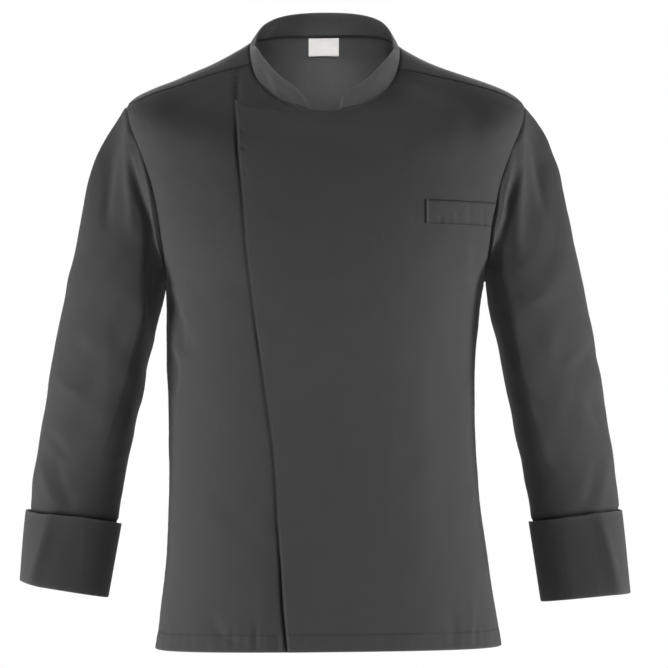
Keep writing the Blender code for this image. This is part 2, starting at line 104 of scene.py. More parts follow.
# crest is where the front of the sleeve stands out most, from -1 at the arm's inner side
# to 1 at its outer side
SLEEVE_COLUMNS = ("x", "y", "z", "half_width", "half_depth", "crest")
SLEEVE_SECTIONS = (
    (251, 6, -282, 58.5, 66, -0.68),
    (264, 8, -340, 57.5, 64, -0.64),
    (276.5, 9, -404, 56.5, 60, -0.56),
    (288, 7, -468, 55.0, 56, -0.38),
    (297.5, 4, -530, 53.5, 53, 0.12),
    (305, 1, -585, 52.0, 50, 0.48),
    (313, -2, -650, 51.5, 48, 0.52),
)
CAP_START_PULL, CAP_END_PULL = 0.95, 1.0
CAP_TURNS_TO_ARM, CAP_RISE, CAP_CROWDING = 0.35, 0.22, 1.5
SLEEVES = {
    "right": {"side": -1, "out": 2.2, "spread": 1.0, "end_z": -632,
              "cuff_depth": 83, "cuff_gap": 3.2, "fold_tilt": -3.6, "fold_drop": -1.2},
    "left": {"side": 1, "out": 0.8, "spread": -1.8, "end_z": -643,
             "cuff_depth": 95, "cuff_gap": 1.6, "fold_tilt": 1.2, "fold_drop": 0.2},
}
ALONG_MM = 64
FRONT_SQUARENESS, BACK_SQUARENESS, BACK_CREST = 2.1, 2.3, 0.4
WRIST_GAP = 0.7
CUFF_BOW, CUFF_SHADOW = 0.6, 1.6

# ---- cloth, seams and hems ----

CLOTH = 0.9
FOLDED_CLOTH = 1.5
COLLAR_CLOTH = 1.9
CUFF_CLOTH = 1.9
WELT_CLOTH = 1.2
LABEL_CLOTH = 0.5
LAYER_GAP = 0.5
SEAM_GAP = 0.05
# HEM_SHADE is the painted shade along the hem's stitching
HEM_DEPTH, HEM_SHADE = 20, 0.22
EDGE_BULGE = 0.35
BODY_DRAPE, SLEEVE_DRAPE = 1.25, 1.5
BODY_FACETS, SLEEVE_FACETS = 0.12, 0.46
# The shade painted along seams and gaps: how wide, and with DEEP_SHADE how dark
SEAM_WIDTH, SEAM_SHADE_WIDTH = 1.3, 1.35
BODY_ARMHOLE_DEPTH, SLEEVE_ARMHOLE_DEPTH, LOW_ARMHOLE_DEPTH = 1.8, 2.0, 2.6
ARMHOLE_PUCKER, NECK_PUCKER, HEM_PUCKER = 0.22, 0.10, 0.55
HEM_RISE, NECK_CALM, DEEP_SHADE = 0.25, 12, 0.95
EDGE_WEAR_REACH, PUCKER_REACH = 1.1, 5.0
ROLL_SHARE, ROLL_AWAY, ROLL_WIDTH = 0.2, 3.2, 1.6
STITCH_GROOVE, STITCH_GROOVE_WIDTH = 0.35, 1.0
SHOULDER_SEAM_Z = -78
# Heights between which an armhole seam gets deep, and lies deep in front
ARMHOLE_DEEPENS_Z, ARMHOLE_DEEPENING = -62, 60
LOW_ARMHOLE_TOP_Z, LOW_ARMHOLE_BOTTOM_Z = -95, -265

# Rows of stitches
THREAD, STITCH_LENGTH, STITCH_PITCH = 0.5, 2.7, 3.7
STITCH_PLACES = (-0.5, -0.38, -0.12, 0.12, 0.38, 0.5)
STITCH_RISES = (-0.5, 0.15, 0.45, 0.45, 0.15, -0.5)
STITCH_SIDES = 6

# Creases: x and z at the start, the middle and the end of each, as seen from the front or
# from the back, then its half width and its height. A height below 0 is a trough.
CREASE_STEPS, CREASE_FADE, CREASE_REACH = 13, 0.8, 3
FRONT_CREASES = (
    (168, -205, 163, -245, 167, -285, 8, 2.0),
    (176, -225, 175, -240, 172, -254, 4, -0.9),
    (170, -640, 173, -663, 171, -698, 3.5, 1.5),
    (147, -648, 148, -670, 150, -696, 6, -1.1),
    (188, -560, 192, -610, 196, -650, 7, 0.9),
    (173, -505, 174, -523, 171, -540, 3, 0.9),
    (172, -58, 174, -85, 172, -118, 11, -1.2),
    (192, -65, 207, -86, 216, -106, 6, 0.9),
    (119, -340, 140, -406, 146, -492, 14, -1.1),
    (96, -380, 112, -440, 118, -520, 18, 0.8),
    (-183, -278, -176, -306, -169, -356, 5.5, -5.0),
    (-170, -306, -164, -330, -156, -352, 6, -2.4),
    (-79, -55, -66, -61, -50, -66, 2.5, -2.6),
    (-188, -274, -186, -300, -186, -332, 2.0, 1.1),
    (-186, -346, -179, -372, -183, -404, 5, -4.4),
    (-184, -332, -173, -339, -155, -343, 4.5, -1.0),
    (-180, -351, -170, -356, -150, -357, 3.5, 1.0),
    (-162, -383, -147, -418, -118, -456, 13, -1.2),
    (-138, -520, -126, -560, -122, -610, 16, 0.8),
    (-108, -668, -107, -684, -108, -702, 2.6, -1.5),
    (-103, -666, -103, -683, -103, -702, 2.6, 0.9),
    (-82, -664, -81, -684, -82, -702, 2.2, -1.8),
    (-77, -668, -77, -686, -77, -702, 2.4, 1.0),
    (-124, -676, -110, -690, -92, -686, 3.5, -0.9),
    (150, -662, 151, -682, 150, -702, 2.6, -1.4),
    (175, -660, 176, -680, 175, -702, 2.6, -1.2),
    (-140, -655, -128, -677, -126, -698, 7, -1.2),
    (-22, -410, -8, -470, 2, -540, 24, 0.7),
    (52, -600, 44, -640, 42, -690, 12, 0.6),
)
# The cloth stands out along the front of the armholes, in the fronts and sleeves alike
ARMHOLE_FULLNESS = (
    (-226, -68, -199, -160, -191, -266, 34, 4.5),
    (226, -68, 199, -160, 191, -266, 34, 4.5),
)
BACK_CREASES = (
    (172, -196, 160, -238, 161, -286, 8, 2.1),
    (-176, -192, -163, -235, -158, -290, 9, 1.8),
    (150, -112, 138, -160, 142, -212, 14, -1.4),
    (-147, -104, -139, -150, -146, -204, 13, -1.2),
    (148, -345, 104, -352, 66, -340, 7, -1.2),
    (150, -364, 110, -372, 80, -366, 6, 0.9),
    (-152, -338, -112, -349, -60, -344, 8, -1.4),
    (-150, -360, -118, -368, -92, -366, 5, 0.8),
    (40, -366, 6, -376, -34, -370, 9, -0.9),
    (24, -420, 16, -500, 22, -590, 26, 1.1),
    (-62, -410, -78, -500, -84, -600, 24, -1.1),
    (96, -430, 108, -520, 118, -640, 20, 1.2),
    (128, -600, 131, -650, 134, -700, 9, -1.2),
    (-128, -560, -140, -630, -146, -700, 12, 1.3),
    (-34, -650, -36, -676, -34, -701, 6, 0.9),
    (60, -660, 58, -680, 60, -701, 5, -0.8),
)
SLEEVE_FRONT_CREASES = {
    "right": (
        (-233, -60, -234, -118, -229, -214, 6.5, 4.4),
        (-246, -86, -258, -134, -262, -206, 7, -4.8),
        (-250, -66, -272, -112, -290, -196, 8, 3.4),
        (-228, -104, -222, -138, -217, -170, 2.6, 1.8),
        (-214, -132, -204, -176, -194, -270, 2.6, 3.2),
        (-199, -250, -197, -268, -195, -290, 6, 2.0),
        (-231, -112, -220, -160, -204, -216, 5, -5.5),
        (-212, -170, -207, -238, -208, -345, 6.5, -7.0),
        (-342, -470, -331, -511, -315, -538, 5, 2.0),
        (-324, -476, -312, -511, -298, -538, 7, -1.8),
        (-322, -372, -311, -390, -288, -398, 6, 1.6),
        (-302, -325, -291, -348, -272, -364, 10, -1.6),
        (-339, -440, -324, -454, -306, -476, 6, -1.8),
        (-230, -396, -245, -428, -256, -462, 7, -1.8),
        (-238, -466, -248, -476, -266, -482, 5, 1.2),
        (-262, -300, -258, -350, -266, -410, 10, 1.2),
        (-258, -522, -264, -535, -266, -549, 3.5, 1.2),
    ),
    "left": (
        (235, -58, 230, -116, 228, -240, 6.5, 4.6),
        (243, -84, 252, -124, 262, -186, 6.5, -5.0),
        (247, -64, 266, -108, 286, -182, 7, 3.4),
        (222, -112, 212, -152, 197, -222, 3, 2.4),
        (229, -120, 218, -168, 206, -224, 5, -5.0),
        (206, -258, 211, -308, 224, -366, 7, -5.0),
        (198, -248, 197, -264, 196, -282, 6, 1.8),
        (212, -128, 200, -170, 193, -250, 3, 2.4),
        (227, -277, 245, -290, 268, -276, 6, 1.5),
        (277, -369, 297, -355, 317, -332, 7, 1.6),
        (309, -400, 324, -430, 331, -462, 7, -2.0),
        (322, -536, 332, -506, 338, -468, 6, 2.0),
        (306, -536, 316, -506, 324, -474, 6, -1.6),
        (226, -384, 240, -404, 258, -419, 7, -1.8),
        (246, -442, 255, -468, 274, -490, 7, 1.3),
        (262, -300, 268, -345, 274, -400, 9, 1.1),
    ),
}
SLEEVE_BACK_CREASES = {
    "right": (
        (-236, -72, -246, -130, -240, -262, 8, 3.0),
        (-228, -96, -220, -150, -214, -214, 6, -2.4),
        (-252, -104, -266, -150, -278, -214, 6, -2.2),
        (-222, -300, -250, -318, -282, -322, 8, -1.8),
        (-226, -330, -256, -346, -296, -346, 7, 1.7),
        (-232, -362, -262, -380, -304, -382, 8, -2.0),
        (-240, -398, -270, -412, -310, -404, 6, 1.4),
        (-250, -438, -280, -446, -312, -436, 8, -1.2),
        (-290, -470, -300, -505, -298, -538, 9, 1.3),
    ),
    "left": (
        (234, -70, 250, -128, 243, -250, 8, 3.1),
        (226, -100, 217, -156, 213, -222, 6, -2.5),
        (256, -108, 270, -158, 282, -220, 6, -2.0),
        (220, -290, 246, -312, 284, -310, 8, -1.9),
        (228, -326, 258, -338, 298, -332, 7, 1.6),
        (234, -356, 266, -372, 306, -368, 9, -2.1),
        (244, -392, 276, -404, 314, -394, 6, 1.5),
        (286, -440, 306, -462, 318, -500, 8, -1.3),
        (262, -470, 274, -506, 276, -540, 9, 1.2),
    ),
}
CUFF_FRONT_CREASES = {
    "right": (
        (-325, -530, -337, -585, -357, -640, 7, 3.0),
        (-345, -520, -353, -575, -366, -630, 9, -0.8),
        (-300, -560, -302, -600, -310, -640, 12, -1.0),
        (-287, -530, -288, -590, -296, -650, 5, 0.8),
    ),
    "left": (
        (322, -530, 335, -590, 354, -655, 7, 3.8),
        (343, -520, 352, -580, 366, -640, 9, -0.5),
        (299, -550, 303, -600, 312, -650, 12, -1.0),
        (281, -550, 286, -600, 294, -660, 5, 0.7),
    ),
}
CUFF_BACK_CREASES = {
    "right": (
        (-318, -540, -326, -590, -332, -640, 8, 1.6),
        (-290, -550, -296, -600, -300, -650, 10, -1.2),
    ),
    "left": (
        (316, -540, 322, -590, 330, -640, 8, 1.4),
        (286, -550, 292, -600, 300, -650, 9, -1.2),
    ),
}
COLLAR_CREASES = (
    (-84, -2, -80, -20, -74, -40, 4.5, 2.0),
    (-80, -12, -71, -30, -62, -46, 5, -2.0),
    (-66, -18, -59, -33, -52, -48, 5, 1.7),
    (64, 8, 62, -14, 54, -38, 5, 1.8),
    (80, 2, 80, -16, 72, -36, 5, -1.4),
    (50, -28, 42, -42, 32, -54, 6, -1.2),
)

# Where the flap's edge stands off the front under it: z, half the length, and how far
FLAP_LIFTS = ((-92, 50, 3.3), (-338, 22, 1.4), (-655, 80, 4.2))
FLAP_LIFT_REACH = 26
FLAP_GROOVE_DEPTH, FLAP_GROOVE_WIDTH, FLAP_GROOVE_BESIDE = 1.0, 2.6, 0.8
# FLAP_SHADE is the painted shade along the rim of the flap's edge
FLAP_ROLL, FLAP_SHADE, FLAP_FOLD = 0.7, 0.8, 14
UNDERLAP_GHOST = 0.35
FLAP_CORNER_RISE, FLAP_CORNER_WIDTH, FLAP_CORNER_DEPTH = 8, 8, 16
YOKE_STITCH_INSET = 3.0
# Small dips beside the flap's edge, where hidden fastenings are sewn on
FLAP_DIPS_Z = (-72, -91, -111, -139)
FLAP_DIP_INSET, FLAP_DIP_RADIUS, FLAP_DIP_DEPTH = 6, 2.8, 1.2

# ---- the weave, in metres ----

WEAVE_DEPTH = 0.0002
TWILL_RIBS, LABEL_RIBS, SLUB = 1500.0, 2600.0, 0.3
# How the noise is drawn out: across the warp, along it, and off the cloth
SLUB_STRETCH, STREAK_STRETCH = (1900.0, 60.0, 1.0), (420.0, 9.0, 1.0)
MOTTLE, CLOUD_SCALE, WEAR_SCALE = 0.24, 46.0, 240.0

# ---- mesh density ----

HEM_ROWS, BODY_ROWS, ARMHOLE_ROWS, YOKE_ROWS = 26, 96, 62, 36
HEM_ZONE = 0.36
BACK_COLUMNS, FRONT_COLUMNS, EDGE_CROWDING = 132, 116, 0.72
SHOWN_COLUMNS, COVERED_COLUMNS = 84, 46
SLEEVE_AROUND, CAP_ROWS, SLEEVE_ROWS = 168, 66, 96
CUFF_AROUND, CUFF_BAND_ROWS, CUFF_FOLD_STEPS = 140, 26, 7
COLLAR_COLUMNS, COLLAR_ROWS = 230, 20
WELT_GRID, LABEL_GRID = (20, 62), (24, 30)
SEARCH_STEPS = 26
TOP_EDGE_STEPS = 41
TINY = 1e-3

# ---- lights and camera ----

PIXEL_MM, FRAME_PIXELS = 1.2, 668
NECK_PIXEL = (326, 60)
CAMERA_DISTANCE = 4.5
SENSOR_MM = 36
FLOOR_Z, FLOOR_REACH, FLOOR_FADE = -1.45, 9.0, (1.8, 6.5)
FLOOR_GREY, AMBIENT = 0.86, 0.06
CAMERA_REACH = 60
BODY_MIDDLE, NECK_MIDDLE = (0, 0, -0.40), (0, 0.07, 0.02)
# Area lights: name, place, what it is aimed at, size in metres, power in watts and spread
LIGHTS = (
    ("side_light_left", (2.2, -0.67, -0.52), BODY_MIDDLE, (0.7, 1.8), 68, None),
    ("side_light_right", (-2.2, -0.67, -0.52), BODY_MIDDLE, (0.7, 1.8), 68, None),
    ("front_light", (0.05, -3.6, -0.3), BODY_MIDDLE, (1.4, 1.2), 26, None),
    ("neck_light", (0, -1.2, 0.55), NECK_MIDDLE, (0.078, 0.078), 0.035, 0.13),
    ("yoke_light", (0, -1.2, 0.55), NECK_MIDDLE, (0.3, 0.3), 0.14, 0.16),
    ("back_light", (0.0, 2.6, 1.3), BODY_MIDDLE, (2.0, 1.2), 95, None),
)


# ---- curves and surfaces ----


def spline(rows, at):
    """Smooth curves through numbered rows, one for each column, read at any numbers."""
    rows = np.asarray(rows, float)
    count = len(rows)
    system = np.eye(count)
    right = np.zeros_like(rows)
    for i in range(1, count - 1):
        system[i, i - 1:i + 2] = (1, 4, 1)
        right[i] = 6 * (rows[i - 1] - 2 * rows[i] + rows[i + 1])
    bends = np.linalg.solve(system, right)
    at = np.asarray(at, float)
    low = np.clip(np.floor(at).astype(int), 0, count - 2)
    f = (at - low)[..., None]
    g = 1 - f
    curve = (g ** 3 - g) * bends[low] + (f ** 3 - f) * bends[low + 1]
    return g * rows[low] + f * rows[low + 1] + curve / 6


def named(names, values):
    return {name: values[..., i] for i, name in enumerate(names)}


def smooth_step(x):
    x = np.clip(x, 0, 1)
    return x * x * (3 - 2 * x)


def hump(x, width):
    """1 where x is 0, and falling away smoothly on both sides of it."""
    return np.exp(-(x / width) ** 2)


def unit(v):
    return v / np.maximum(np.linalg.norm(v, axis=-1, keepdims=True), 1e-9)


def moved_out(points, normal, distance):
    """The points, each moved along its normal."""
    return points + normal * distance[..., None]


def find(is_short, low, high):
    """The value between low and high at which is_short stops being true."""
    for _ in range(SEARCH_STEPS):
        middle = (low + high) / 2
        short = is_short(middle)
        low = np.where(short, middle, low)
        high = np.where(short, high, middle)
    return (low + high) / 2


def normals(surface, first, second):
    along_first = surface(first + TINY, second) - surface(first - TINY, second)
    along_second = surface(first, second + TINY) - surface(first, second - TINY)
    return unit(np.cross(along_first, along_second))


def signed(turn):
    """A turn as -2 to 2, below 0 on the wearer's right."""
    return np.mod(turn + 2, 4) - 2


def circle(count):
    return np.linspace(0, 2 * np.pi, count, endpoint=False)


def ring(turn, row):
    """A point of a section. turn is 0 at the centre front, 1 and -1 at the wearer's
    left and right side, 2 at the centre back."""
    turn = signed(turn)
    away = np.abs(turn)
    in_front = away <= 1
    u = np.where(in_front, away, 2 - away)
    b0 = (1 - u) ** 3
    b1 = 3 * u * (1 - u) ** 2
    b2 = 3 * u * u * (1 - u)
    b3 = u ** 3
    end_y = np.where(in_front, row["end_y_front"], row["end_y_back"])
    end_z = np.where(in_front, row["end_z_front"], row["end_z_back"])
    hang = np.where(in_front, row["hang_front"], row["hang_back"])
    end_share = b0 + b1 + hang * b2
    x = row["half_width"] * (row["full"] * b1 + b2 + b3)
    y = end_y * (b0 + b1 + row["full"] * b2)
    z = end_z * end_share + row["side_z"] * (1 - end_share)
    across = np.sign(turn) * x
    z = z + row["ridge"] * hump(1 - u, RIDGE_SPREAD)
    level = 1 - TILT_LOST_BEHIND * smooth_step((away - 1) / 0.5)
    z = z + level * row["tilt"] * across / row["half_width"]
    return np.stack([row["middle_x"] + across, y, z], axis=-1)


def body_point(turn, section):
    turn, section = np.broadcast_arrays(turn, section)
    return ring(turn, named(BODY_COLUMNS, spline(BODY_SECTIONS, section)))


def body_normal(turn, section):
    return normals(body_point, turn, section)


def body_grid(turn, section):
    return body_point(turn, section), body_normal(turn, section)


def section_at(turn, z, low, high):
    """The section, between two others, at which the body reaches a height."""
    return find(lambda section: body_point(turn, section)[..., 2] < z, low, high)


def side_edge(section, bow_width):
    """The turn at which a panel ends: side seam, bowed armhole, then shoulder seam, which
    turns forward from the armhole's top."""
    rise = np.clip((section - UNDERARM) / (SHOULDER - UNDERARM), 0, 1)
    edge = 1 + bow_width * np.sqrt(np.maximum(0, 1 - (2 * rise - 1) ** 2))
    forward = np.clip((section - SHOULDER) / (NECK - SHOULDER), 0, 1)
    more = SHOULDER_SEAM_FORWARD - SHOULDER_SEAM_START
    start = SHOULDER_SEAM_START * np.sqrt(np.clip(forward / 0.1, 0, 1))
    return np.where(section > SHOULDER, 1 - start - more * forward, edge)


def top_edge_sections():
    """The section at which a front's top edge lies, at even steps past the centre."""
    past = np.linspace(0, 1, TOP_EDGE_STEPS)
    z = NECK_ROW["end_z_front"] + TOP_EDGE_RISE * past ** TOP_EDGE_BEND
    return section_at(past, z, SHOULDER, NECK)


def lowered(past, section):
    """The section at which a row of a front lies when it is past the centre."""
    yoke = np.clip((section - SHOULDER) / (NECK - SHOULDER), 0, 1)
    steps = np.linspace(0, 1, TOP_EDGE_STEPS)
    fall = NECK - np.interp(np.clip(past, 0, 1), steps, TOP_EDGE)
    return section - fall * yoke


def front_edge(section, side):
    """How many turns past the centre a front ends, from the slant of its edge."""
    top_x, hem_x = FRONT_EDGES_X[side]

    def is_short(past):
        point = body_point(side * past, lowered(past, section))
        share = (EDGE_TOP_Z - point[..., 2]) / (EDGE_TOP_Z - HEM_Z)
        wanted = top_x + (hem_x - top_x) * np.clip(share, 0, 1)
        if side < 0:
            wanted = wanted + np.interp(-point[..., 2], *np.transpose(FLAP_SWAY))
        return side * (point[..., 0] - wanted) < 0
    return find(is_short, 0.0, 1.0)


def layer_lift(turn, underlap):
    """How far the wearer's left front stands off the body to clear the underlap."""
    return LAYER_STEP * (1 - smooth_step((turn - underlap - CROSSING_START) / CROSSING))


def arm_ring(sleeve, around, along, out=0.0):
    """A point round the arm, and the arm's direction there. around is 0 under the arm
    and grows by way of the front."""
    side = sleeve["side"]
    row = named(SLEEVE_COLUMNS, spline(SLEEVE_SECTIONS, along - 1))
    reach = (along - 1) / (len(SLEEVE_SECTIONS) - 1)
    middle_x = row["x"] + sleeve["out"] + sleeve["spread"] * reach
    middle = np.stack([middle_x, row["y"], row["z"]], axis=-1)
    ahead = spline(SLEEVE_SECTIONS, along - 1 + TINY)[..., :3]
    arm = unit(ahead - spline(SLEEVE_SECTIONS, along - 1)[..., :3])
    outward = unit(np.stack([-arm[..., 2], np.zeros_like(row["x"]), arm[..., 0]], axis=-1))
    forward = np.cross(arm, outward)
    across, ahead = -np.cos(around), np.sin(around)
    power = np.where(ahead > 0, FRONT_SQUARENESS, BACK_SQUARENESS)
    reach = (np.abs(across) ** power + np.abs(ahead) ** power) ** (1 / power)
    across, ahead = across / reach, ahead / reach
    crest = row["crest"] * np.where(ahead > 0, 1, BACK_CREST)
    width = (across + crest * (1 - np.abs(across))) * (row["half_width"] + out)
    depth = ahead * (row["half_depth"] + out)
    point = middle + outward * width[..., None] + forward * depth[..., None]
    mirror = np.array([side, 1, 1])
    return point * mirror, arm * mirror


def armhole(side, around):
    rise = (1 - np.cos(around)) / 2
    section = UNDERARM + (SHOULDER - UNDERARM) * rise
    bow = np.where(np.sin(around) > 0, ARMHOLE_FRONT, ARMHOLE_BACK) * np.sin(around)
    return side * (1 - bow), section


def sleeve_point(sleeve, around, along):
    """The sleeve's surface: the cap for along from 0 to 1, then the arm."""
    side = sleeve["side"]
    around, along = np.broadcast_arrays(around, along)
    along = np.maximum(along, 0)
    arm_point, _ = arm_ring(sleeve, around, np.maximum(along, 1))
    line = around[:1]
    start = body_point(*armhole(side, line))
    ahead = body_point(*armhole(side, line + TINY))
    normal = body_normal(*armhole(side, line))
    leave = unit(np.cross(ahead - start, normal)) * side
    leave = leave + normal * (CAP_RISE * (1 - np.cos(line)) / 2)[..., None]
    end, arm = arm_ring(sleeve, line, np.ones_like(line))
    reach = np.linalg.norm(end - start, axis=-1, keepdims=True)
    bend = CAP_TURNS_TO_ARM * np.abs(np.sin(line))[..., None]
    leave = unit(leave * (1 - bend) + unit(end - start) * bend)
    w = along[..., None]
    cap = (
        start * (1 + 2 * w) * (1 - w) ** 2
        + leave * reach * CAP_START_PULL * w * (1 - w) ** 2
        + end * w * w * (3 - 2 * w)
        - arm * reach * CAP_END_PULL * w * w * (1 - w)
    )
    return np.where(w < 1, cap, arm_point)


def along_at(z):
    """The place along the arm whose middle is at this height."""
    rows = np.array(SLEEVE_SECTIONS, float)[:, 2]
    return 1 + np.interp(-z, -rows, np.arange(len(rows)))


def collar_point(turn, height):
    turn, height = np.broadcast_arrays(turn, height)
    top = ring(turn, dict(zip(BODY_COLUMNS, COLLAR_TOP)))
    away = np.abs(signed(turn))
    forward = COLLAR_TOP_FORWARD * hump(away - 1, COLLAR_FORWARD_SPREAD)
    top = top - np.stack([np.zeros_like(away), forward, np.zeros_like(away)], axis=-1)
    base = body_point(turn, NECK)
    out = unit(base * (1, 1, 0))
    bow = COLLAR_BOW * 4 * height * (1 - height)
    return base + (top - base) * height[..., None] + out * bow[..., None]


TOP_EDGE = top_edge_sections()


# ---- relief of the cloth ----


def drape(points, strength):
    """The slow, slight unevenness of hanging cloth, from crossing waves of several lengths."""
    x, y, z = np.moveaxis(points, -1, 0)
    x, z = x + 11 * np.sin(z / 41 + y / 60), z + 14 * np.sin(x / 33 + 0.7)
    broad = 0.55 * np.sin(x / 37 + z / 83 + 1.3) * np.cos(z / 61 - y / 47)
    middle = 0.32 * np.sin(x / 17 - z / 37 + y / 31) * np.sin(z / 24 + 0.6)
    small = 0.12 * np.sin(x / 9.5 + z / 15) * np.cos(y / 8 - z / 12)
    return strength * (broad + middle + small)


def facets(points, strength):
    """Slight flat patches of cloth, which meet each other along soft uneven folds."""
    x, y, z = np.moveaxis(points, -1, 0)
    x, z = x + 13 * np.sin(z / 37 + y / 29), z + 17 * np.sin(x / 29 + y / 41 + 0.7)
    slants = (x / 10 + z / 15, x / 8.5 - z / 13 + 1.1, z / 10 + x / 43 + 2.3)
    folds = sum(np.arcsin(0.985 * np.sin(slant)) for slant in slants)
    patchy = 0.6 + 0.4 * np.sin(x / 47 + 0.4) * np.sin(z / 59 + 1.9)
    return strength * patchy * folds


def from_line(points, line):
    """How far each point is from a line of points, and how far along the line that is."""
    nearest = np.full(points.shape[:-1], np.inf)
    place = np.zeros(points.shape[:-1])
    start = 0.0
    for corner, ahead in zip(line[:-1], line[1:]):
        step = ahead - corner
        length = max(float(np.linalg.norm(step)), 1e-6)
        share = np.clip((points - corner) @ step / length ** 2, 0, 1)
        apart = np.sum((points - corner - share[..., None] * step) ** 2, axis=-1)
        closer = apart < nearest
        nearest = np.where(closer, apart, nearest)
        place = np.where(closer, start + share * length, place)
        start += length
    return np.sqrt(nearest), place


def creases(points, facing, table):
    """The height that a table of creases adds, faded toward the ends of each. facing is
    1 where the surface faces the side that the table is for."""
    total = np.zeros(points.shape[:-1])
    flat = points[..., [0, 2]]
    step = np.linspace(0, 1, CREASE_STEPS)[:, None]
    for *places, width, height in table:
        first, middle, last = np.array(places, float).reshape(3, 2)
        pull = 2 * middle - (first + last) / 2
        path = first * (1 - step) ** 2 + pull * 2 * step * (1 - step) + last * step ** 2
        reach = CREASE_REACH * width
        near = np.all((flat > path.min(0) - reach) & (flat < path.max(0) + reach), -1)
        away, place = from_line(flat[near], path)
        share = place / np.linalg.norm(np.diff(path, axis=0), axis=1).sum()
        fade = np.sin(np.pi * np.clip(share, 0, 1)) ** CREASE_FADE
        total[near] += height * fade * hump(away, width)
    return total * facing


def facing_front(normal):
    """1 where a surface faces forward, 0 where it faces back."""
    return smooth_step((0.25 - normal[..., 1]) / 0.5)


def ripple(place):
    """An uneven wave along a seam."""
    slow = np.sin(place / 1.9 + 1.4 * np.sin(place / 8.3))
    return 0.6 * slow + 0.4 * np.sin(place / 1.13 + 2.0)


def armhole_depth(points, depth):
    """How deep an armhole seam lies: shallow at the shoulder's end, deep lower down."""
    deepening = smooth_step((ARMHOLE_DEEPENS_Z - points[..., 2]) / ARMHOLE_DEEPENING)
    return depth * (0.2 + 0.8 * deepening)


def low_armhole(points):
    """1 along the lower front of the armholes, where their seams lie deep, and 0 above."""
    z = points[..., 2]
    below_top = smooth_step((LOW_ARMHOLE_TOP_Z - z) / 80)
    return below_top * smooth_step((z - LOW_ARMHOLE_BOTTOM_Z) / 30)


def seam(points, line, depth, pucker):
    """A sewn seam: a ditch along the line, a slight roll beside it and small puckers.
    Also gives how far each point is from the line."""
    away, place = from_line(points, line)
    ditch = -depth * hump(away, SEAM_WIDTH)
    roll = ROLL_SHARE * depth * hump(away - ROLL_AWAY, ROLL_WIDTH)
    return ditch + roll + pucker * np.exp(-away / PUCKER_REACH) * ripple(place), away


def stitched(points, line, inset, pucker):
    """The groove that a row of stitches pulls into the cloth, inset from a line."""
    away, place = from_line(points, line)
    between = smooth_step(away / 4) * smooth_step((inset + 8 - away) / 10)
    groove = -STITCH_GROOVE * hump(away - inset, STITCH_GROOVE_WIDTH)
    return groove + pucker * between * ripple(place * 0.7)


# ---- meshes ----


def graded(count):
    """Even steps from 0 to 1, crowded toward both ends."""
    step = np.linspace(0, 1, count)
    return step - EDGE_CROWDING * np.sin(2 * np.pi * step) / (2 * np.pi)


def cloth_uv(points, around):
    """Each corner's place on the cloth, in metres, from the lengths along the grid."""
    if around:
        points = np.concatenate([points, points[:, :1]], axis=1)
    rows, columns = points.shape[:2]
    across = np.zeros((rows, columns))
    across[:, 1:] = np.cumsum(np.linalg.norm(np.diff(points, axis=1), axis=-1), axis=1)
    across -= across[:, columns // 2:columns // 2 + 1]
    up = np.zeros((rows, columns))
    up[1:] = np.cumsum(np.linalg.norm(np.diff(points, axis=0), axis=-1), axis=0)
    up = np.broadcast_to(up[:, columns // 2:columns // 2 + 1], up.shape)
    return np.stack([across, up], axis=-1).reshape(-1, 2) * MM, columns


def grid_corners(rows, columns, around):
    """The rows and columns of each quad's corners. Round a tube, columns run past the last."""
    last = columns if around else columns - 1
    i, j = np.meshgrid(np.arange(rows - 1), np.arange(last), indexing="ij")
    i, j = i.ravel(), j.ravel()
    return np.stack([i, i, i + 1, i + 1], 1), np.stack([j, j + 1, j + 1, j], 1)


def rim_loops(rows, columns, around):
    """The free edges of a grid, each as rows and columns in the order of its quads."""
    if around:
        across = np.arange(columns + 1)
        return [(np.zeros_like(across), across), (np.full_like(across, rows - 1), across[::-1])]
    up, across = np.arange(rows), np.arange(columns)
    i = np.concatenate([0 * across, up[1:], 0 * across[1:] + rows - 1, up[::-1][1:]])
    j = np.concatenate([across, 0 * up[1:] + columns - 1, across[::-1][1:], 0 * up[1:]])
    return [(i, j)]


def add_object(name, data):
    made = bpy.data.objects.new(name, data)
    bpy.context.scene.collection.objects.link(made)
    return made


def add_piece(name, vertices, quads, corner_uv, inside, finish, **marks):
    """Makes the object, with its place on the cloth, marks at its points such as wear,
    painted highlight and painted shade, and its two finishes."""
    mesh = bpy.data.meshes.new(name)
    mesh.from_pydata((vertices * MM).tolist(), [], quads.tolist())
    layer = mesh.uv_layers.new(name="cloth")
    layer.data.foreach_set("uv", corner_uv.astype(np.float32).ravel())
    for title, values in marks.items():
        layer = mesh.attributes.new(title, "FLOAT", "POINT")
        layer.data.foreach_set("value", np.asarray(values, np.float32))
    for material in finish:
        mesh.materials.append(material)
    mesh.polygons.foreach_set("material_index", inside.astype(np.int32))
    mesh.shade_smooth()
    return add_object(name, mesh)


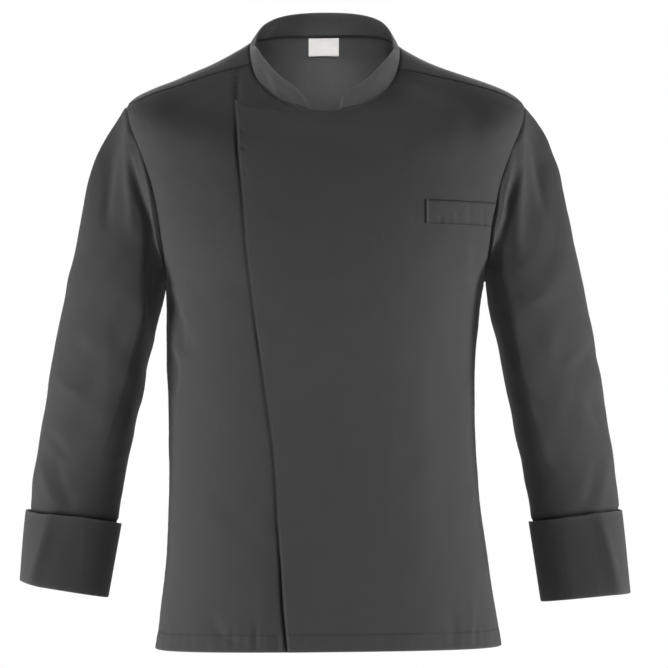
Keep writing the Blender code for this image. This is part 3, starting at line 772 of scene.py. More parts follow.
def shell(name, outer, normal, thickness, finish, around=False, wear=0.0, unfaded=0.0):
    """A thin closed shell of cloth inward from a grid of points on its outer face."""
    rows, columns = outer.shape[:2]
    inner = outer - normal * np.broadcast_to(thickness, (rows, columns))[..., None]
    uv, uv_columns = cloth_uv(outer, around)
    facing = np.cross(outer[:-1, 1:] - outer[:-1, :-1], outer[1:, :-1] - outer[:-1, :-1])
    flip = np.sum(facing * normal[:-1, :-1]) < 0
    row, column = grid_corners(rows, columns, around)
    face = row * columns + column % columns
    face_uv = row * uv_columns + column
    count = rows * columns
    quads, places = [face, face[:, ::-1] + count], [face_uv, face_uv[:, ::-1]]
    vertices = [outer.reshape(-1, 3), inner.reshape(-1, 3)]
    marks = {"wear": wear, "unfaded": unfaded}
    marks = {title: np.broadcast_to(mark, (rows, columns)) for title, mark in marks.items()}
    spread = {title: [mark.ravel()] * 2 for title, mark in marks.items()}
    start = 2 * count
    for i, j in rim_loops(rows, columns, around):
        j_in = j % columns
        next_i = np.clip(i, 1, rows - 2)
        next_j = j_in if around else np.clip(j, 1, columns - 2)
        away = unit(outer[i, j_in] - outer[next_i, next_j])
        depth = np.linalg.norm(outer[i, j_in] - inner[i, j_in], axis=-1, keepdims=True)
        middle = (outer[i, j_in] + inner[i, j_in]) / 2 + away * depth * EDGE_BULGE
        vertices.append(middle[:-1])
        for title, mark in marks.items():
            spread[title].append(mark[i, j_in][:-1])
        length = len(i) - 1
        a = i * columns + j_in
        b = start + np.arange(length + 1) % length
        place = i * uv_columns + j
        quads.append(np.stack([a[1:], a[:-1], b[:-1], b[1:]], 1))
        quads.append(np.stack([b[1:], b[:-1], a[:-1] + count, a[1:] + count], 1))
        places += [np.stack([place[1:], place[:-1], place[:-1], place[1:]], 1)] * 2
        start += length
    inside = np.concatenate([np.full(len(q), k == 1) for k, q in enumerate(quads)])
    quads, places = np.concatenate(quads), np.concatenate(places)
    if flip:
        quads, places = quads[:, ::-1], places[:, ::-1]
    spread = {title: np.concatenate(parts) for title, parts in spread.items()}
    return add_piece(name, np.concatenate(vertices), quads, uv[places], inside, finish, **spread)


def inset_line(points, normal, inset):
    """The line on a grid at this distance from its first row, and the normals there."""
    steps = np.linalg.norm(np.diff(points, axis=0), axis=-1)
    up = np.vstack([np.zeros(points.shape[1]), np.cumsum(steps, axis=0)])
    column = np.arange(points.shape[1])
    row = np.clip((up < inset).sum(axis=0), 1, len(up) - 1)
    low = up[row - 1, column]
    share = np.clip((inset - low) / (up[row, column] - low), 0, 1)[:, None]
    line = points[row - 1, column] * (1 - share) + points[row, column] * share
    return line, unit(normal[row - 1, column] * (1 - share) + normal[row, column] * share)


def read_line(line, place, at):
    return np.stack([np.interp(at, place, line[:, i]) for i in range(3)], axis=-1)


def add_stitches(name, lines, finish):
    """Rows of stitches, one joined mesh: each dips into the cloth at both of its ends."""
    blocks, places = [], []
    angle = circle(STITCH_SIDES)[:, None]
    for line, normal in lines:
        place = np.concatenate([[0], np.cumsum(np.linalg.norm(np.diff(line, axis=0), axis=1))])
        middle = np.arange(STITCH_PITCH, place[-1] - STITCH_PITCH, STITCH_PITCH)
        middle = middle + 0.22 * np.sin(middle * 1.7)
        at = middle[:, None] + STITCH_LENGTH * np.array(STITCH_PLACES)
        up = unit(read_line(normal, place, at))
        ahead = unit(read_line(line, place, at + 0.3) - read_line(line, place, at - 0.3))
        rise = THREAD * np.array(STITCH_RISES)[:, None]
        centre = (read_line(line, place, at) + up * rise)[:, :, None]
        side = np.cross(ahead, up)[:, :, None]
        radius = THREAD / 2
        blocks.append(centre + radius * (np.cos(angle) * up[:, :, None] + np.sin(angle) * side))
        v = np.broadcast_to(angle[:, 0] * radius, blocks[-1].shape[:-1])
        places.append(np.stack([np.broadcast_to(at[:, :, None], v.shape), v], axis=-1))
    vertices, uv = np.concatenate(blocks), np.concatenate(places) * MM
    count, rings = vertices.shape[:2]
    index = np.arange(count * rings * STITCH_SIDES).reshape(count, rings, STITCH_SIDES)
    turned = np.roll(index, -1, axis=2)
    walls = np.stack([index[:, :-1], turned[:, :-1], turned[:, 1:], index[:, 1:]], axis=-1)
    first, last = index[:, 0], index[:, -1]
    ends = [first[:, [3, 2, 1, 0]], first[:, [5, 4, 3, 0]],
            last[:, [0, 1, 2, 3]], last[:, [0, 3, 4, 5]]]
    quads = np.concatenate([walls.reshape(-1, 4)] + ends)
    uv = uv.reshape(-1, 2)[quads]
    piece = add_piece(name, vertices.reshape(-1, 3), quads, uv, np.zeros(len(quads)), finish)
    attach(piece, "root")
    return piece


def drawn_in(points, around=False):
    """The points with the free edges moved in by half a seam gap."""
    moved = points.copy()
    for axis in (0,) if around else (0, 1):
        source, drawn = points.swapaxes(0, axis), moved.swapaxes(0, axis)
        for edge, beside in ((0, 1), (-1, -2)):
            drawn[edge] += unit(source[beside] - source[edge]) * SEAM_GAP / 2
    return moved


# ---- the body's panels ----


def body_rows():
    """Close rows at the hem, even rows to the underarm, then the armhole and the yoke."""
    hem = np.linspace(0, HEM_ZONE, HEM_ROWS)
    body = np.linspace(HEM_ZONE, UNDERARM, BODY_ROWS)
    bow = (1 - np.cos(np.linspace(0, np.pi, ARMHOLE_ROWS))) / 2
    yoke = np.linspace(SHOULDER, NECK, YOKE_ROWS)
    hole = UNDERARM + (SHOULDER - UNDERARM) * bow
    return np.concatenate([hem, body[1:], hole[1:], yoke[1:]])


def between(start, end, count):
    share = graded(count)
    return start[:, None] * (1 - share) + end[:, None] * share


def edge_wear(away):
    return np.exp(-away / EDGE_WEAR_REACH)


def finish_body(points, normal, table, seams):
    """Adds the drape, the creases, the seams and the hem to a body panel's points. Gives
    the relief, where the cloth is folded double, its wear, and the painted shade along its
    seams and hem stitching."""
    in_front = table is FRONT_CREASES
    facing = facing_front(normal)
    facing = facing if in_front else 1 - facing
    from_neck, _ = from_line(points, points[-1])
    relief = drape(points, BODY_DRAPE) + facets(points, BODY_FACETS)
    relief = relief * smooth_step(from_neck / NECK_CALM) + creases(points, facing, table)
    if in_front:
        relief += creases(points, facing, ARMHOLE_FULLNESS)
    # Painted shade along each seam, where its ditch lies in shade
    unfaded = np.zeros(relief.shape)
    on_shoulder = smooth_step((points[..., 2] - SHOULDER_SEAM_Z) / 25)
    width = SEAM_SHADE_WIDTH + 0.7 * low_armhole(points) + 1.0 * on_shoulder
    for line, depth, pucker, shade in seams:
        sewn, away = seam(points, line, depth, pucker)
        relief = relief + sewn
        unfaded = np.maximum(unfaded, shade * hump(away, width))
    hem = points[0]
    relief = relief + stitched(points, hem, HEM_DEPTH, HEM_PUCKER)
    away, place = from_line(points, hem)
    folded = smooth_step((HEM_DEPTH + 0.5 - away) / 1.5)
    # Painted shade in patches along the hem's stitching
    patchy = HEM_SHADE * smooth_step(0.5 + 0.5 * ripple(place / 11))
    unfaded = np.maximum(unfaded, patchy * hump(away - HEM_DEPTH, 1.2))
    return relief + HEM_RISE * folded, folded, edge_wear(away), unfaded


def sew_panel(name, points, normal, cloth, finish, thread, yoke_stitched=False):
    """Makes a body panel and its stitches. cloth is what finish_body gives."""
    relief, folded, wear, unfaded = cloth
    points = moved_out(drawn_in(points), normal, relief)
    thickness = CLOTH + (FOLDED_CLOTH - CLOTH) * folded
    piece = shell(f"{name}_panel", points, normal, thickness, finish, wear=wear,
                  unfaded=unfaded)
    lines = [inset_line(points, normal, HEM_DEPTH)]
    for order in (1, -1) if yoke_stitched else ():
        yoke = [grid[-YOKE_ROWS:, ::order].swapaxes(0, 1) for grid in (points, normal)]
        lines.append(inset_line(*yoke, YOKE_STITCH_INSET))
    return piece, [add_stitches(f"{name}_stitches", lines, thread)]


def make_back(finish, thread):
    rows = body_rows()
    edge = side_edge(rows, ARMHOLE_BACK)
    points, normal = body_grid(between(edge, 4 - edge, BACK_COLUMNS), rows[:, None])
    depth = armhole_depth(points, BODY_ARMHOLE_DEPTH)
    # The last number of each seam is the strength of its painted shade
    seams = [(points[:, 0], depth, ARMHOLE_PUCKER, 0.7),
             (points[:, -1], depth, ARMHOLE_PUCKER, 0.7), (points[-1], 0.5, NECK_PUCKER, 0.85)]
    cloth = finish_body(points, normal, BACK_CREASES, seams)
    return sew_panel("back", points, normal, cloth, finish, thread, yoke_stitched=True)


def front_seams(points, armhole_column, neck_shade):
    """A front's seams, each with its line, depth, pucker and the strength of its painted shade."""
    depth = armhole_depth(points, BODY_ARMHOLE_DEPTH)
    return [(points[:, armhole_column], depth, ARMHOLE_PUCKER, 0.95),
            (points[-1], 0.7, NECK_PUCKER, neck_shade)]


def make_front_right(finish, thread):
    rows = body_rows()
    underlap, flap = front_edge(rows, 1), front_edge(rows, -1)
    shown = between(-side_edge(rows, -ARMHOLE_FRONT), -flap, SHOWN_COLUMNS)
    covered = between(-flap, underlap, COVERED_COLUMNS)
    turn = np.concatenate([shown, covered[:, 1:]], axis=1)
    points, normal = body_grid(turn, lowered(turn, rows[:, None]))
    seams = front_seams(points, 0, 0.8)
    relief, folded, wear, unfaded = finish_body(points, normal, FRONT_CREASES, seams)
    past = points[..., 0] - body_point(-flap, lowered(flap, rows))[:, :1]
    relief = relief - flap_shadow(points, past) + fastening_dips(points, past)
    # Painted shadow in the gap beside the flap's edge
    unfaded = np.maximum(unfaded, flap_gap_shade(points, past))
    cloth = relief, folded, wear, unfaded
    return sew_panel("front_right", points, normal, cloth, finish, thread)


def flap_standing(points):
    """How far the flap's edge stands off the front under it, at each height."""
    z = points[..., 2]
    return sum(height * hump(z - middle, reach) for middle, reach, height in FLAP_LIFTS)


def flap_shadow(points, past):
    """The groove that the flap's edge presses into the front under it."""
    depth = FLAP_GROOVE_DEPTH + 0.5 * flap_standing(points)
    return depth * hump(past + FLAP_GROOVE_BESIDE, FLAP_GROOVE_WIDTH)


def flap_gap_shade(points, past):
    """The painted shadow in the gap beside the flap's edge, on the front under it."""
    standing = flap_standing(points)
    shade_strength = np.minimum(0.55 + 0.15 * standing, 1)
    return shade_strength * hump(past + (0.4 + 0.22 * standing), 0.9 + 0.36 * standing)


def fastening_dips(points, past):
    """Small dips beside the flap's edge, in both fronts."""
    total = np.zeros(past.shape)
    for z in FLAP_DIPS_Z:
        apart = (points[..., 2] - z) ** 2 + (past - FLAP_DIP_INSET) ** 2
        total -= FLAP_DIP_DEPTH * np.exp(-apart / FLAP_DIP_RADIUS ** 2)
    return total


def make_front_left(finish, thread):
    rows = body_rows()
    underlap = front_edge(rows, 1)
    turn = between(-front_edge(rows, -1), side_edge(rows, -ARMHOLE_FRONT), FRONT_COLUMNS)
    points, normal = body_grid(turn, lowered(-turn, rows[:, None]))
    points = moved_out(points, normal, layer_lift(turn, underlap[:, None]))
    seams = front_seams(points, -1, 0.9)
    relief, folded, wear, unfaded = finish_body(points, normal, FRONT_CREASES, seams)
    away, place = from_line(points, points[:, 0])
    standing = flap_standing(points)
    relief = relief + standing * hump(away, FLAP_LIFT_REACH)
    relief = relief + fastening_dips(points, away)
    relief = relief + 0.15 * np.exp(-away / 6) * ripple(place * 0.6)
    relief = relief - FLAP_ROLL * hump(away, 1.8)
    ghost, _ = from_line(points, body_point(underlap, lowered(underlap, rows)))
    relief = relief + UNDERLAP_GHOST * hump(np.maximum(ghost - LAYER_STEP, 0), 1.8)
    folded = np.maximum(folded, smooth_step((FLAP_FOLD - away) / 2))
    # Painted shade along the rim of the flap's edge
    unfaded = np.maximum(unfaded, FLAP_SHADE * hump(away, 0.8))
    # A painted highlight just inside the flap's edge, where it stands off
    rubbed_and_highlight = np.minimum(standing / FLAP_LIFTS[-1][-1], 1)
    wear = np.maximum(wear, rubbed_and_highlight * hump(away - 1.9, 0.8))
    top, _ = from_line(points, points[-1])
    corner = np.exp(-(away / FLAP_CORNER_WIDTH) ** 2 - (top / FLAP_CORNER_DEPTH) ** 2)
    points = points + np.array([-0.15, 0, 1]) * FLAP_CORNER_RISE * corner[..., None]
    cloth = relief, folded, wear, unfaded
    return sew_panel("front_left", points, normal, cloth, finish, thread)


# ---- sleeves and cuffs ----


def make_sleeve(name, sleeve, finish):
    end = along_at(sleeve["end_z"])
    cap = np.linspace(0, 1, CAP_ROWS) ** CAP_CROWDING
    along = np.concatenate([cap, np.linspace(1, end, SLEEVE_ROWS)[1:]])[:, None]
    around, along = np.broadcast_arrays(circle(SLEEVE_AROUND)[None, :], along)

    def surface(a, b):
        return sleeve_point(sleeve, a, b)
    normal = normals(surface, around, along) * -sleeve["side"]
    points = surface(around, along)
    front = facing_front(normal)
    relief = drape(points, SLEEVE_DRAPE) + facets(points, SLEEVE_FACETS)
    relief += creases(points, front, SLEEVE_FRONT_CREASES[name])
    relief += creases(points, 1 - front, SLEEVE_BACK_CREASES[name])
    above_cuff = (along_at(sleeve["end_z"] + sleeve["cuff_depth"]) - along) * ALONG_MM
    relief *= smooth_step(above_cuff / 9)
    relief -= CUFF_SHADOW * hump(above_cuff - 2.0, 3.4)
    closed = np.concatenate([points[0], points[0, :1]])
    away, place = from_line(points, closed)
    low = low_armhole(points)
    relief *= smooth_step(away / 5)
    relief -= armhole_depth(points, SLEEVE_ARMHOLE_DEPTH) * hump(away, 1.5)
    relief -= LOW_ARMHOLE_DEPTH * low * hump(away, 3.2)
    relief += 0.25 * np.exp(-away / PUCKER_REACH) * ripple(place)
    relief += creases(points, front, ARMHOLE_FULLNESS)
    relief += seam(points, points[:, 0], 0.6, 0.15)[0] * smooth_step(along / 0.3)
    # Painted shade along the armhole seam, and painted shadow on the sleeve above the cuff
    reach = 3.8 + 1.5 * np.cos(around) + 0.9 * np.sin(9 * around)
    under_cuff = hump(np.maximum(above_cuff, 0), reach)
    unfaded = np.maximum(DEEP_SHADE * hump(away, 1.4 + 2.2 * low), DEEP_SHADE * under_cuff)
    points = moved_out(drawn_in(points, around=True), normal, relief)
    return shell(f"sleeve_{name}_cloth", points, normal, CLOTH, finish, around=True,
                 unfaded=unfaded)


def cuff_profile(sleeve):
    """A turned-back cuff's profile, as heights above the wrist and distances out. It
    runs down the inside of the wrist, round the fold, up the outside, and back down."""
    depth, top, cloth = sleeve["cuff_depth"], sleeve["cuff_gap"], CUFF_CLOTH
    low = -SEAM_GAP - cloth
    radius = (WRIST_GAP + cloth + CLOTH) / 2
    fold = [(low, -CLOTH)]
    for bend in np.linspace(0, np.pi, CUFF_FOLD_STEPS)[CUFF_FOLD_STEPS // 2:]:
        height = low + 0.9 * cloth * (1 - np.sin(bend))
        fold.append((height, radius - CLOTH - radius * np.cos(bend)))
    share = np.linspace(0, 1, CUFF_BAND_ROWS)
    bow = CUFF_BOW * 4 * share * (1 - share)
    gap = WRIST_GAP + (top - WRIST_GAP) * share + bow
    start = fold[-1][0]
    rise = [(start + (depth - start) * s, g) for s, g in zip(share, gap)]
    outside = [(height, g + cloth) for height, g in rise[1:]]
    edge = [(depth + 0.45 * cloth, top + cloth * 0.5)]
    foot = [(-SEAM_GAP, WRIST_GAP), (-SEAM_GAP, -CLOTH)]
    return np.array(fold + outside + edge + rise[:0:-1] + foot)


def make_cuff(name, sleeve, finish):
    around = circle(CUFF_AROUND)
    profile = cuff_profile(sleeve)
    depth = sleeve["cuff_depth"]
    loops = []
    tilt = sleeve["fold_tilt"] * np.cos(around) + sleeve["fold_drop"]
    front = smooth_step(0.5 + 1.6 * np.sin(around))
    wave = 1.0 * np.sin(2 * around + 0.7) + 0.7 * np.sin(3 * around + 2.1 * sleeve["side"])
    wave += 0.25 * np.sin(11 * around + 1.0)
    for height, out in profile:
        rise = smooth_step(height / depth)
        along = along_at(sleeve["end_z"] + height + wave * rise + tilt * (1 - rise))
        swell = 0.35 * rise * np.sin(5 * around + 1.0) + 0.25 * rise * np.sin(3 * around)
        flat = arm_ring(sleeve, around, along, out + swell)[0]
        turned = creases(flat, front, CUFF_FRONT_CREASES[name])
        turned += creases(flat, 1 - front, CUFF_BACK_CREASES[name])
        loops.append(arm_ring(sleeve, around, along, out + swell + turned)[0])
    loops = np.array(loops + loops[:1])
    rows = len(loops)
    uv, uv_columns = cloth_uv(loops, True)
    row, column = grid_corners(rows, CUFF_AROUND, True)
    quads = (row % (rows - 1)) * CUFF_AROUND + column % CUFF_AROUND
    places = row * uv_columns + column
    if sleeve["side"] < 0:
        quads, places = quads[:, ::-1], places[:, ::-1]
    heights, outs = profile.T
    folded = np.exp(-np.abs(heights - depth) / 2.0) + np.exp(-np.abs(heights + CUFF_CLOTH) / 2.0)
    worn = np.repeat(folded * (outs > WRIST_GAP), CUFF_AROUND)
    return add_piece(f"cuff_{name}_band", loops[:-1].reshape(-1, 3), quads, uv[places],
                     np.zeros(len(quads)), finish, wear=worn, unfaded=0 * worn)


# ---- collar, welt and label ----


def make_collar(finish, thread):
    turn = np.linspace(COLLAR_END_TURN, 4 - COLLAR_END_TURN, COLLAR_COLUMNS)
    from_end = np.minimum(turn, 4 - turn) - COLLAR_END_TURN
    ends = np.where(turn[:, None] < BACK_CENTRE, COLLAR_ENDS["left"], COLLAR_ENDS["right"])
    rounding = np.clip(1 - from_end / ends[:, 0], 0, 1)
    reach = np.maximum(np.sqrt(1 - rounding ** 2), ends[:, 1])
    height = graded(COLLAR_ROWS)[:, None] * reach
    turn = np.broadcast_to(turn, height.shape)
    normal = normals(collar_point, turn, height)
    past = signed(turn)
    underlap = front_edge(np.full(1, NECK), 1)
    lift = np.where(past > 0, layer_lift(np.abs(past), underlap), 0)
    points = moved_out(collar_point(turn, height), body_normal(turn, NECK), lift)
    free_edge = np.concatenate([points[:, 0], points[-1], points[::-1, -1]])
    away, _ = from_line(points, free_edge)
    relief = creases(points, facing_front(normal), COLLAR_CREASES)
    relief = relief * smooth_step(away / 5)
    relief -= 0.30 * hump(away - COLLAR_STITCH_INSET, 0.9)
    sewn, from_base = seam(points, points[0], 0.6, 0.12)
    relief += sewn
    points = moved_out(drawn_in(points), normal, relief)
    # Painted shade along the collar's seam at the neck
    piece = shell("collar_stand", points, normal, COLLAR_CLOTH, finish, wear=edge_wear(away),
                  unfaded=DEEP_SHADE * hump(from_base, 1.9))
    top = inset_line(points[::-1], normal[::-1], COLLAR_STITCH_INSET)
    return piece, [add_stitches("collar_stitches", [top], thread)]


def make_chest_welt(finish, thread):
    rows, count = WELT_GRID
    up = np.linspace(0, 1, rows)[:, None]
    z = WELT_BOTTOM_Z + (WELT_TOP_Z - WELT_BOTTOM_Z) * up - WELT_FALL * graded(count)
    edge = side_edge((UNDERARM + SHOULDER) / 2, -ARMHOLE_FRONT) - WELT_SHORT_OF_SEAM
    turn = np.broadcast_to(WELT_TURN + (edge - WELT_TURN) * graded(count), (rows, count))
    for _ in range(WELT_ROUNDS):
        section = section_at(turn, z, UNDERARM, SHOULDER)
        x = body_point(turn, section)[..., 0]
        off = (x[:, :1].mean() - x[:, :1]) * (edge - WELT_TURN) / (x[:, -1:] - x[:, :1])
        turn = turn + off * (1 - graded(count))
    underlap = front_edge(section[:, 0], 1)[:, None]
    lift = layer_lift(turn, underlap) + LAYER_GAP + WELT_CLOTH
    points, normal = body_grid(turn, section)
    base = drape(points, BODY_DRAPE) + facets(points, BODY_FACETS)
    base = base + creases(points, facing_front(normal), FRONT_CREASES + ARMHOLE_FULLNESS)
    outline = np.concatenate([points[0], points[1:, -1], points[-1, ::-1], points[::-1, 0]])
    away, _ = from_line(points, outline)
    puffs = 0.0 * away
    for x, top in WELT_PUCKERS:
        low = smooth_step((top - up) / 0.3 + 0.5)
        puffs -= WELT_PUCKER_DEPTH * low * hump(points[..., 0] - x, WELT_PUCKER_WIDTH)
    relief = base + puffs - 0.6 * hump(away, 1.2)
    relief -= 0.25 * hump(away - WELT_STITCH_INSET, 0.7)
    points = moved_out(points, normal, lift + relief)
    from_end, _ = from_line(points, points[:, 0])
    # A painted highlight near the welt's end, and painted shade round its outline
    piece = shell("chest_welt_strip", points, normal, WELT_CLOTH, finish,
                  wear=2.2 * hump(from_end - 2.4, 0.8), unfaded=0.8 * hump(away, 1.2))
    bottom = inset_line(points, normal, WELT_STITCH_INSET)
    return piece, [add_stitches("chest_welt_stitches", [bottom], thread)]


def make_neck_label(finish, thread):
    rows, count = LABEL_GRID
    z = np.linspace(LABEL_BOTTOM_Z, NECK_ROW["end_z_back"] - 1, rows)[:, None]
    x = LABEL_MIDDLE_X + np.linspace(LABEL_WIDTH, -LABEL_WIDTH, count) / 2
    middle = np.full((rows, count), BACK_CENTRE)
    section = section_at(middle, z, SHOULDER, NECK)
    turn = find(lambda t: body_point(t, section)[..., 0] > x, middle - 1, middle + 1)
    points, normal = body_grid(turn, section)
    down = np.linspace(1, 0, rows)[:, None]
    curl = 0.8 * down ** 2 + 0.5 * down * (2 * (x - LABEL_MIDDLE_X) / LABEL_WIDTH) ** 2
    points = moved_out(points, normal, -(CLOTH + 1.0 + curl))
    piece = shell("neck_label_tape", points, normal, LABEL_CLOTH, finish)
    inner = points - normal * LABEL_CLOTH
    top = inset_line(inner[::-1], -normal[::-1], LABEL_STITCH_INSET)
    return piece, [add_stitches("neck_label_stitches", [top], thread)]


# ---- node helpers ----


def fill(tree, node, sockets):
    """Fills a node's input sockets with links or values."""
    for key, value in dict(sockets).items():
        if isinstance(value, bpy.types.NodeSocket):
            tree.links.new(value, node.inputs[key])
        else:
            node.inputs[key].default_value = value


def put(tree, kind, sockets=(), **settings):
    """Adds a node, its settings and what its input sockets hold."""
    made = tree.nodes.new(kind)
    for name, value in settings.items():
        setattr(made, name, value)
    fill(tree, made, sockets)
    return made


def sum_up(tree, operation, *values):
    return put(tree, "ShaderNodeMath", dict(enumerate(values)), operation=operation).outputs[0]


def noise(tree, place, scale, detail, stretch=None, **sockets):
    """Noise over the cloth, drawn out along its threads where a stretch is given."""
    if stretch:
        stretched = put(tree, "ShaderNodeVectorMath", {0: place, 1: stretch}, operation="MULTIPLY")
        place = stretched.outputs[0]
    sockets = {"Vector": place, "Scale": scale, "Detail": detail, **sockets}
    return put(tree, "ShaderNodeTexNoise", sockets).outputs["Fac"]


def new_group(name, inputs, outputs):
    """An empty shader group. The place on the cloth and named numbers go into it, and
    named numbers come out."""
    group = bpy.data.node_groups.new(name, "ShaderNodeTree")
    group.interface.new_socket("Cloth Place", in_out="INPUT", socket_type="NodeSocketVector")
    for title, value in inputs.items():
        socket = group.interface.new_socket(title, in_out="INPUT", socket_type="NodeSocketFloat")
        socket.default_value = value
    for title in outputs:
        group.interface.new_socket(title, in_out="OUTPUT", socket_type="NodeSocketFloat")
    given = group.nodes.new("NodeGroupInput")
    return group, given.outputs, group.nodes.new("NodeGroupOutput")


def weave_group():
    """Twill: slanting ribs, cut across by the threads that pass over them."""
    group, given, made = new_group("twill weave", {"Ribs per Metre": TWILL_RIBS, "Slub": SLUB},
                                   ("Height", "Thread Shade"))
    place = put(group, "ShaderNodeSeparateXYZ", {0: given["Cloth Place"]})
    across = sum_up(group, "MULTIPLY", place.outputs[0], given["Ribs per Metre"])
    up = sum_up(group, "MULTIPLY", place.outputs[1], given["Ribs per Metre"])
    rib = sum_up(group, "PINGPONG", sum_up(group, "ADD", across, up), 0.5)
    thread = sum_up(group, "PINGPONG", sum_up(group, "MULTIPLY", up, 2.0), 0.5)
    lift = sum_up(group, "MULTIPLY", rib, 1.6)
    height = sum_up(group, "ADD", lift, sum_up(group, "MULTIPLY", thread, 0.5))
    slub = noise(group, given["Cloth Place"], 1.0, 2.0, stretch=SLUB_STRETCH)
    uneven = sum_up(group, "MULTIPLY", slub, given["Slub"])
    fill(group, made, {"Height": sum_up(group, "ADD", height, uneven),
                       "Thread Shade": sum_up(group, "ADD", rib, uneven)})
    return group


def mottle_group():
    """Slow variation of a dyed cloth: clouds, and faint streaks along the warp."""
    group, given, made = new_group("dye mottle", {"Amount": MOTTLE}, ("Shade",))
    place = given["Cloth Place"]
    clouds = noise(group, place, CLOUD_SCALE, 5.0, Roughness=0.66)
    streaks = noise(group, place, 1.0, 3.0, stretch=STREAK_STRETCH)
    both = sum_up(group, "ADD", clouds, sum_up(group, "MULTIPLY", streaks, 0.6))
    shade = sum_up(group, "MULTIPLY", sum_up(group, "SUBTRACT", both, 0.8), given["Amount"])
    fill(group, made, {"Shade": sum_up(group, "ADD", shade, 1.0)})
    return group


def wear_group():
    """Lighter rubbed cloth along folded edges, with painted highlights where edges stand off,
    and painted shade down in the seams and gaps.
    """
    group, given, made = new_group(
        "edge wear", {"Wear": 0.0, "Unfaded": 0.0, "Amount": 0.5, "Painted Seam Shade": 0.9},
        ("Mask", "Shade"))
    patches = noise(group, given["Cloth Place"], WEAR_SCALE, 4.0)
    rubbed_and_highlight = sum_up(group, "MULTIPLY", given["Wear"], patches)
    shade_strength = sum_up(group, "MULTIPLY", given["Unfaded"], given["Painted Seam Shade"])
    fill(group, made, {"Mask": sum_up(group, "MULTIPLY", rubbed_and_highlight, given["Amount"]),
                       "Shade": sum_up(group, "SUBTRACT", 1.0, shade_strength)})
    return group


def new_material(name):
    material = bpy.data.materials.new(name)
    material.use_nodes = True
    return material, material.node_tree, material.node_tree.nodes["Principled BSDF"]


def shaded(tree, colour, shade):
    """A colour made lighter or darker by a shade."""
    dyed = put(tree, "ShaderNodeVectorMath", {0: colour, "Scale": shade}, operation="SCALE")
    return dyed.outputs[0]


def raised(tree, height, strength):
    """The normals of a surface with a fine relief."""
    bump = {"Height": height, "Strength": strength, "Distance": WEAVE_DEPTH}
    return put(tree, "ShaderNodeBump", bump).outputs[0]


def cloth_material(name, groups, colour, worn_and_highlight_colour, ribs, bump, roughness, sheen=0.12,
                   mottled=MOTTLE):
    """A woven cloth: dyed colour with mottle, wear, painted highlights and painted shade,
    ribs in its bump, and sheen.
    """
    material, tree, shader = new_material(name)
    place = put(tree, "ShaderNodeUVMap", uv_map="cloth").outputs["UV"]
    # Wear with painted highlights, and painted shade, as marked at the points
    marks = {title.capitalize():
             put(tree, "ShaderNodeAttribute", attribute_name=title).outputs["Fac"]
             for title in ("wear", "unfaded")}
    twill, dye, wear_and_painted_shade = (
        put(tree, "ShaderNodeGroup", {"Cloth Place": place, **given}, node_tree=group).outputs
        for group, given in zip(groups, ({"Ribs per Metre": ribs}, {"Amount": mottled}, marks)))
    thread = sum_up(tree, "MULTIPLY_ADD", twill["Thread Shade"], 0.35, 0.88)
    shade = sum_up(tree, "MULTIPLY", thread, dye["Shade"])
    shade = sum_up(tree, "MULTIPLY", shade, wear_and_painted_shade["Shade"])
    mixed = put(tree, "ShaderNodeMix",
                {"Factor": wear_and_painted_shade["Mask"], 6: shaded(tree, colour, shade), 7: (*worn_and_highlight_colour, 1)},
                data_type="RGBA")
    rough = sum_up(tree, "MULTIPLY_ADD", dye["Shade"], 0.25, roughness - 0.25)
    fill(tree, shader, {
        "Base Color": mixed.outputs[2], "Roughness": rough,
        "Normal": raised(tree, twill["Height"], bump), "Sheen Weight": sheen,
        "Sheen Roughness": 0.45, "Specular IOR Level": 0.2})
    return material


def thread_material(name, colour):
    """Sewing thread: two plies twisted together, with a painted highlight on top of each turn."""
    material, tree, shader = new_material(name)
    place = put(tree, "ShaderNodeUVMap", uv_map="cloth").outputs["UV"]
    place = put(tree, "ShaderNodeSeparateXYZ", {0: place})
    slant = sum_up(tree, "ADD", sum_up(tree, "MULTIPLY", place.outputs[0], 2200.0),
                   sum_up(tree, "MULTIPLY", place.outputs[1], 1300.0))
    ply = sum_up(tree, "PINGPONG", slant, 0.5)
    shade = sum_up(tree, "MULTIPLY_ADD", ply, 1.2, 0.6)
    fill(tree, shader, {
        "Base Color": shaded(tree, colour, shade), "Normal": raised(tree, ply, 0.4),
        "Roughness": 0.55, "Specular IOR Level": 0.3})
    return material


# ---- stage ----


def stage_material(name, grey, near, far):
    """A pale floor that fades away with distance from the jacket."""
    material, tree, shader = new_material(name)
    place = put(tree, "ShaderNodeNewGeometry").outputs["Position"]
    away = put(tree, "ShaderNodeVectorMath", {0: place}, operation="LENGTH").outputs["Value"]
    fade = put(tree, "ShaderNodeMapRange",
               {"Value": away, "From Min": near, "From Max": far, "To Min": 1.0, "To Max": 0.0},
               interpolation_type="SMOOTHSTEP")
    fill(tree, shader, {
        "Base Color": (grey, grey, grey, 1), "Roughness": 0.9, "Alpha": fade.outputs[0]})
    return material


def add_light(name, place, target, size, power, spread):
    light = bpy.data.lights.new(name, "AREA")
    light.shape = "RECTANGLE"
    light.size, light.size_y = size
    light.energy = power
    if spread:
        light.spread = spread
    lamp = add_object(name, light)
    aim = np.array(target) - np.array(place)
    turn = np.arctan2(aim[0], -aim[1])
    tilt = np.arctan2(np.hypot(aim[0], aim[1]), -aim[2])
    lamp.location = place
    lamp.rotation_euler = (tilt, 0, np.pi + turn)


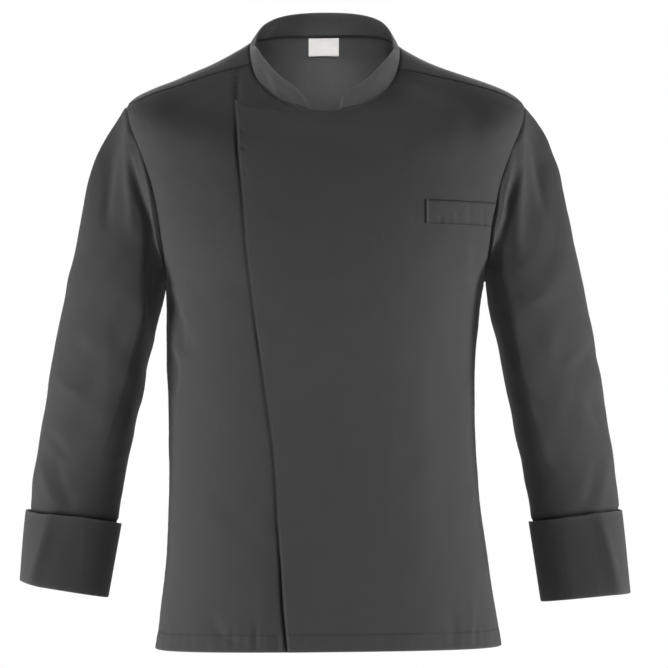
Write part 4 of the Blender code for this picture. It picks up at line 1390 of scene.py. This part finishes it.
def make_stage():
    mesh = bpy.data.meshes.new("studio_floor")
    corners = [(x * FLOOR_REACH, y * FLOOR_REACH, FLOOR_Z)
               for x, y in ((-1, -1), (1, -1), (1, 1), (-1, 1))]
    mesh.from_pydata(corners, [], [(0, 1, 2, 3)])
    mesh.materials.append(stage_material("pale_floor", FLOOR_GREY, *FLOOR_FADE))
    add_object("studio_floor", mesh)
    world = bpy.data.worlds.new("studio")
    world.use_nodes = True
    bpy.context.scene.world = world
    tree = world.node_tree
    tree.nodes.clear()
    seen, given = (
        put(tree, "ShaderNodeBackground", {"Color": (1, 1, 1, 1), "Strength": strength})
        for strength in (1.0, AMBIENT))
    ray = put(tree, "ShaderNodeLightPath").outputs["Is Camera Ray"]
    mixed = put(tree, "ShaderNodeMixShader", {0: ray, 1: given.outputs[0], 2: seen.outputs[0]})
    put(tree, "ShaderNodeOutputWorld", {"Surface": mixed.outputs[0]})
    for light in LIGHTS:
        add_light(*light)


def make_camera():
    centre = FRAME_PIXELS / 2
    camera = bpy.data.cameras.new("camera")
    camera.sensor_width = SENSOR_MM
    camera.lens = SENSOR_MM * CAMERA_DISTANCE / (FRAME_PIXELS * PIXEL_MM * MM)
    camera.clip_end = CAMERA_REACH
    viewer = add_object("camera", camera)
    viewer.location = ((centre - NECK_PIXEL[0]) * PIXEL_MM * MM, -CAMERA_DISTANCE,
                       (NECK_PIXEL[1] - centre) * PIXEL_MM * MM)
    viewer.rotation_euler = (np.pi / 2, 0, 0)
    bpy.context.scene.camera = viewer


# ---- putting it together ----


def dress(piece, node):
    """The piece stands for its node and moves with the jacket."""
    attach(piece, "root")
    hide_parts(node)


def main():
    bpy.context.scene.view_settings.view_transform = "Standard"
    groups = weave_group(), mottle_group(), wear_group()
    outside = cloth_material("charcoal_twill", groups, (0.037, 0.037, 0.038),
                             (0.12, 0.12, 0.12), ribs=TWILL_RIBS, bump=0.35, roughness=0.85)
    inside = cloth_material("charcoal_twill_inside", groups, (0.069, 0.069, 0.070),
                            (0.16, 0.16, 0.16), ribs=TWILL_RIBS, bump=0.30, roughness=0.9)
    label = cloth_material("white_label_tape", groups, (0.79, 0.78, 0.77),
                           (0.83, 0.83, 0.83), ribs=LABEL_RIBS, bump=0.15, roughness=0.6,
                           sheen=0.1, mottled=0.05)
    thread = (thread_material("charcoal_thread", (0.027, 0.027, 0.028)),)
    white_thread = (thread_material("white_thread", (0.85, 0.84, 0.83)),)
    panel = (outside, inside)
    sewn = (
        ("back", "twill", make_back(panel, thread)),
        ("front_right", "twill", make_front_right(panel, thread)),
        ("front_left", "twill", make_front_left(panel, thread)),
        ("collar", "twill", make_collar((outside, outside), thread)),
        ("chest_welt", "twill", make_chest_welt((outside, outside), thread)),
        ("neck_label", "label_tape", make_neck_label((label, label), white_thread)),
    )
    for node, slot, (piece, stitches) in sewn:
        dress(piece, node)
    for name, sleeve in SLEEVES.items():
        dress(make_sleeve(name, sleeve, panel), f"sleeve_{name}")
        dress(make_cuff(name, sleeve, panel), f"cuff_{name}")
    make_stage()
    make_camera()


main()
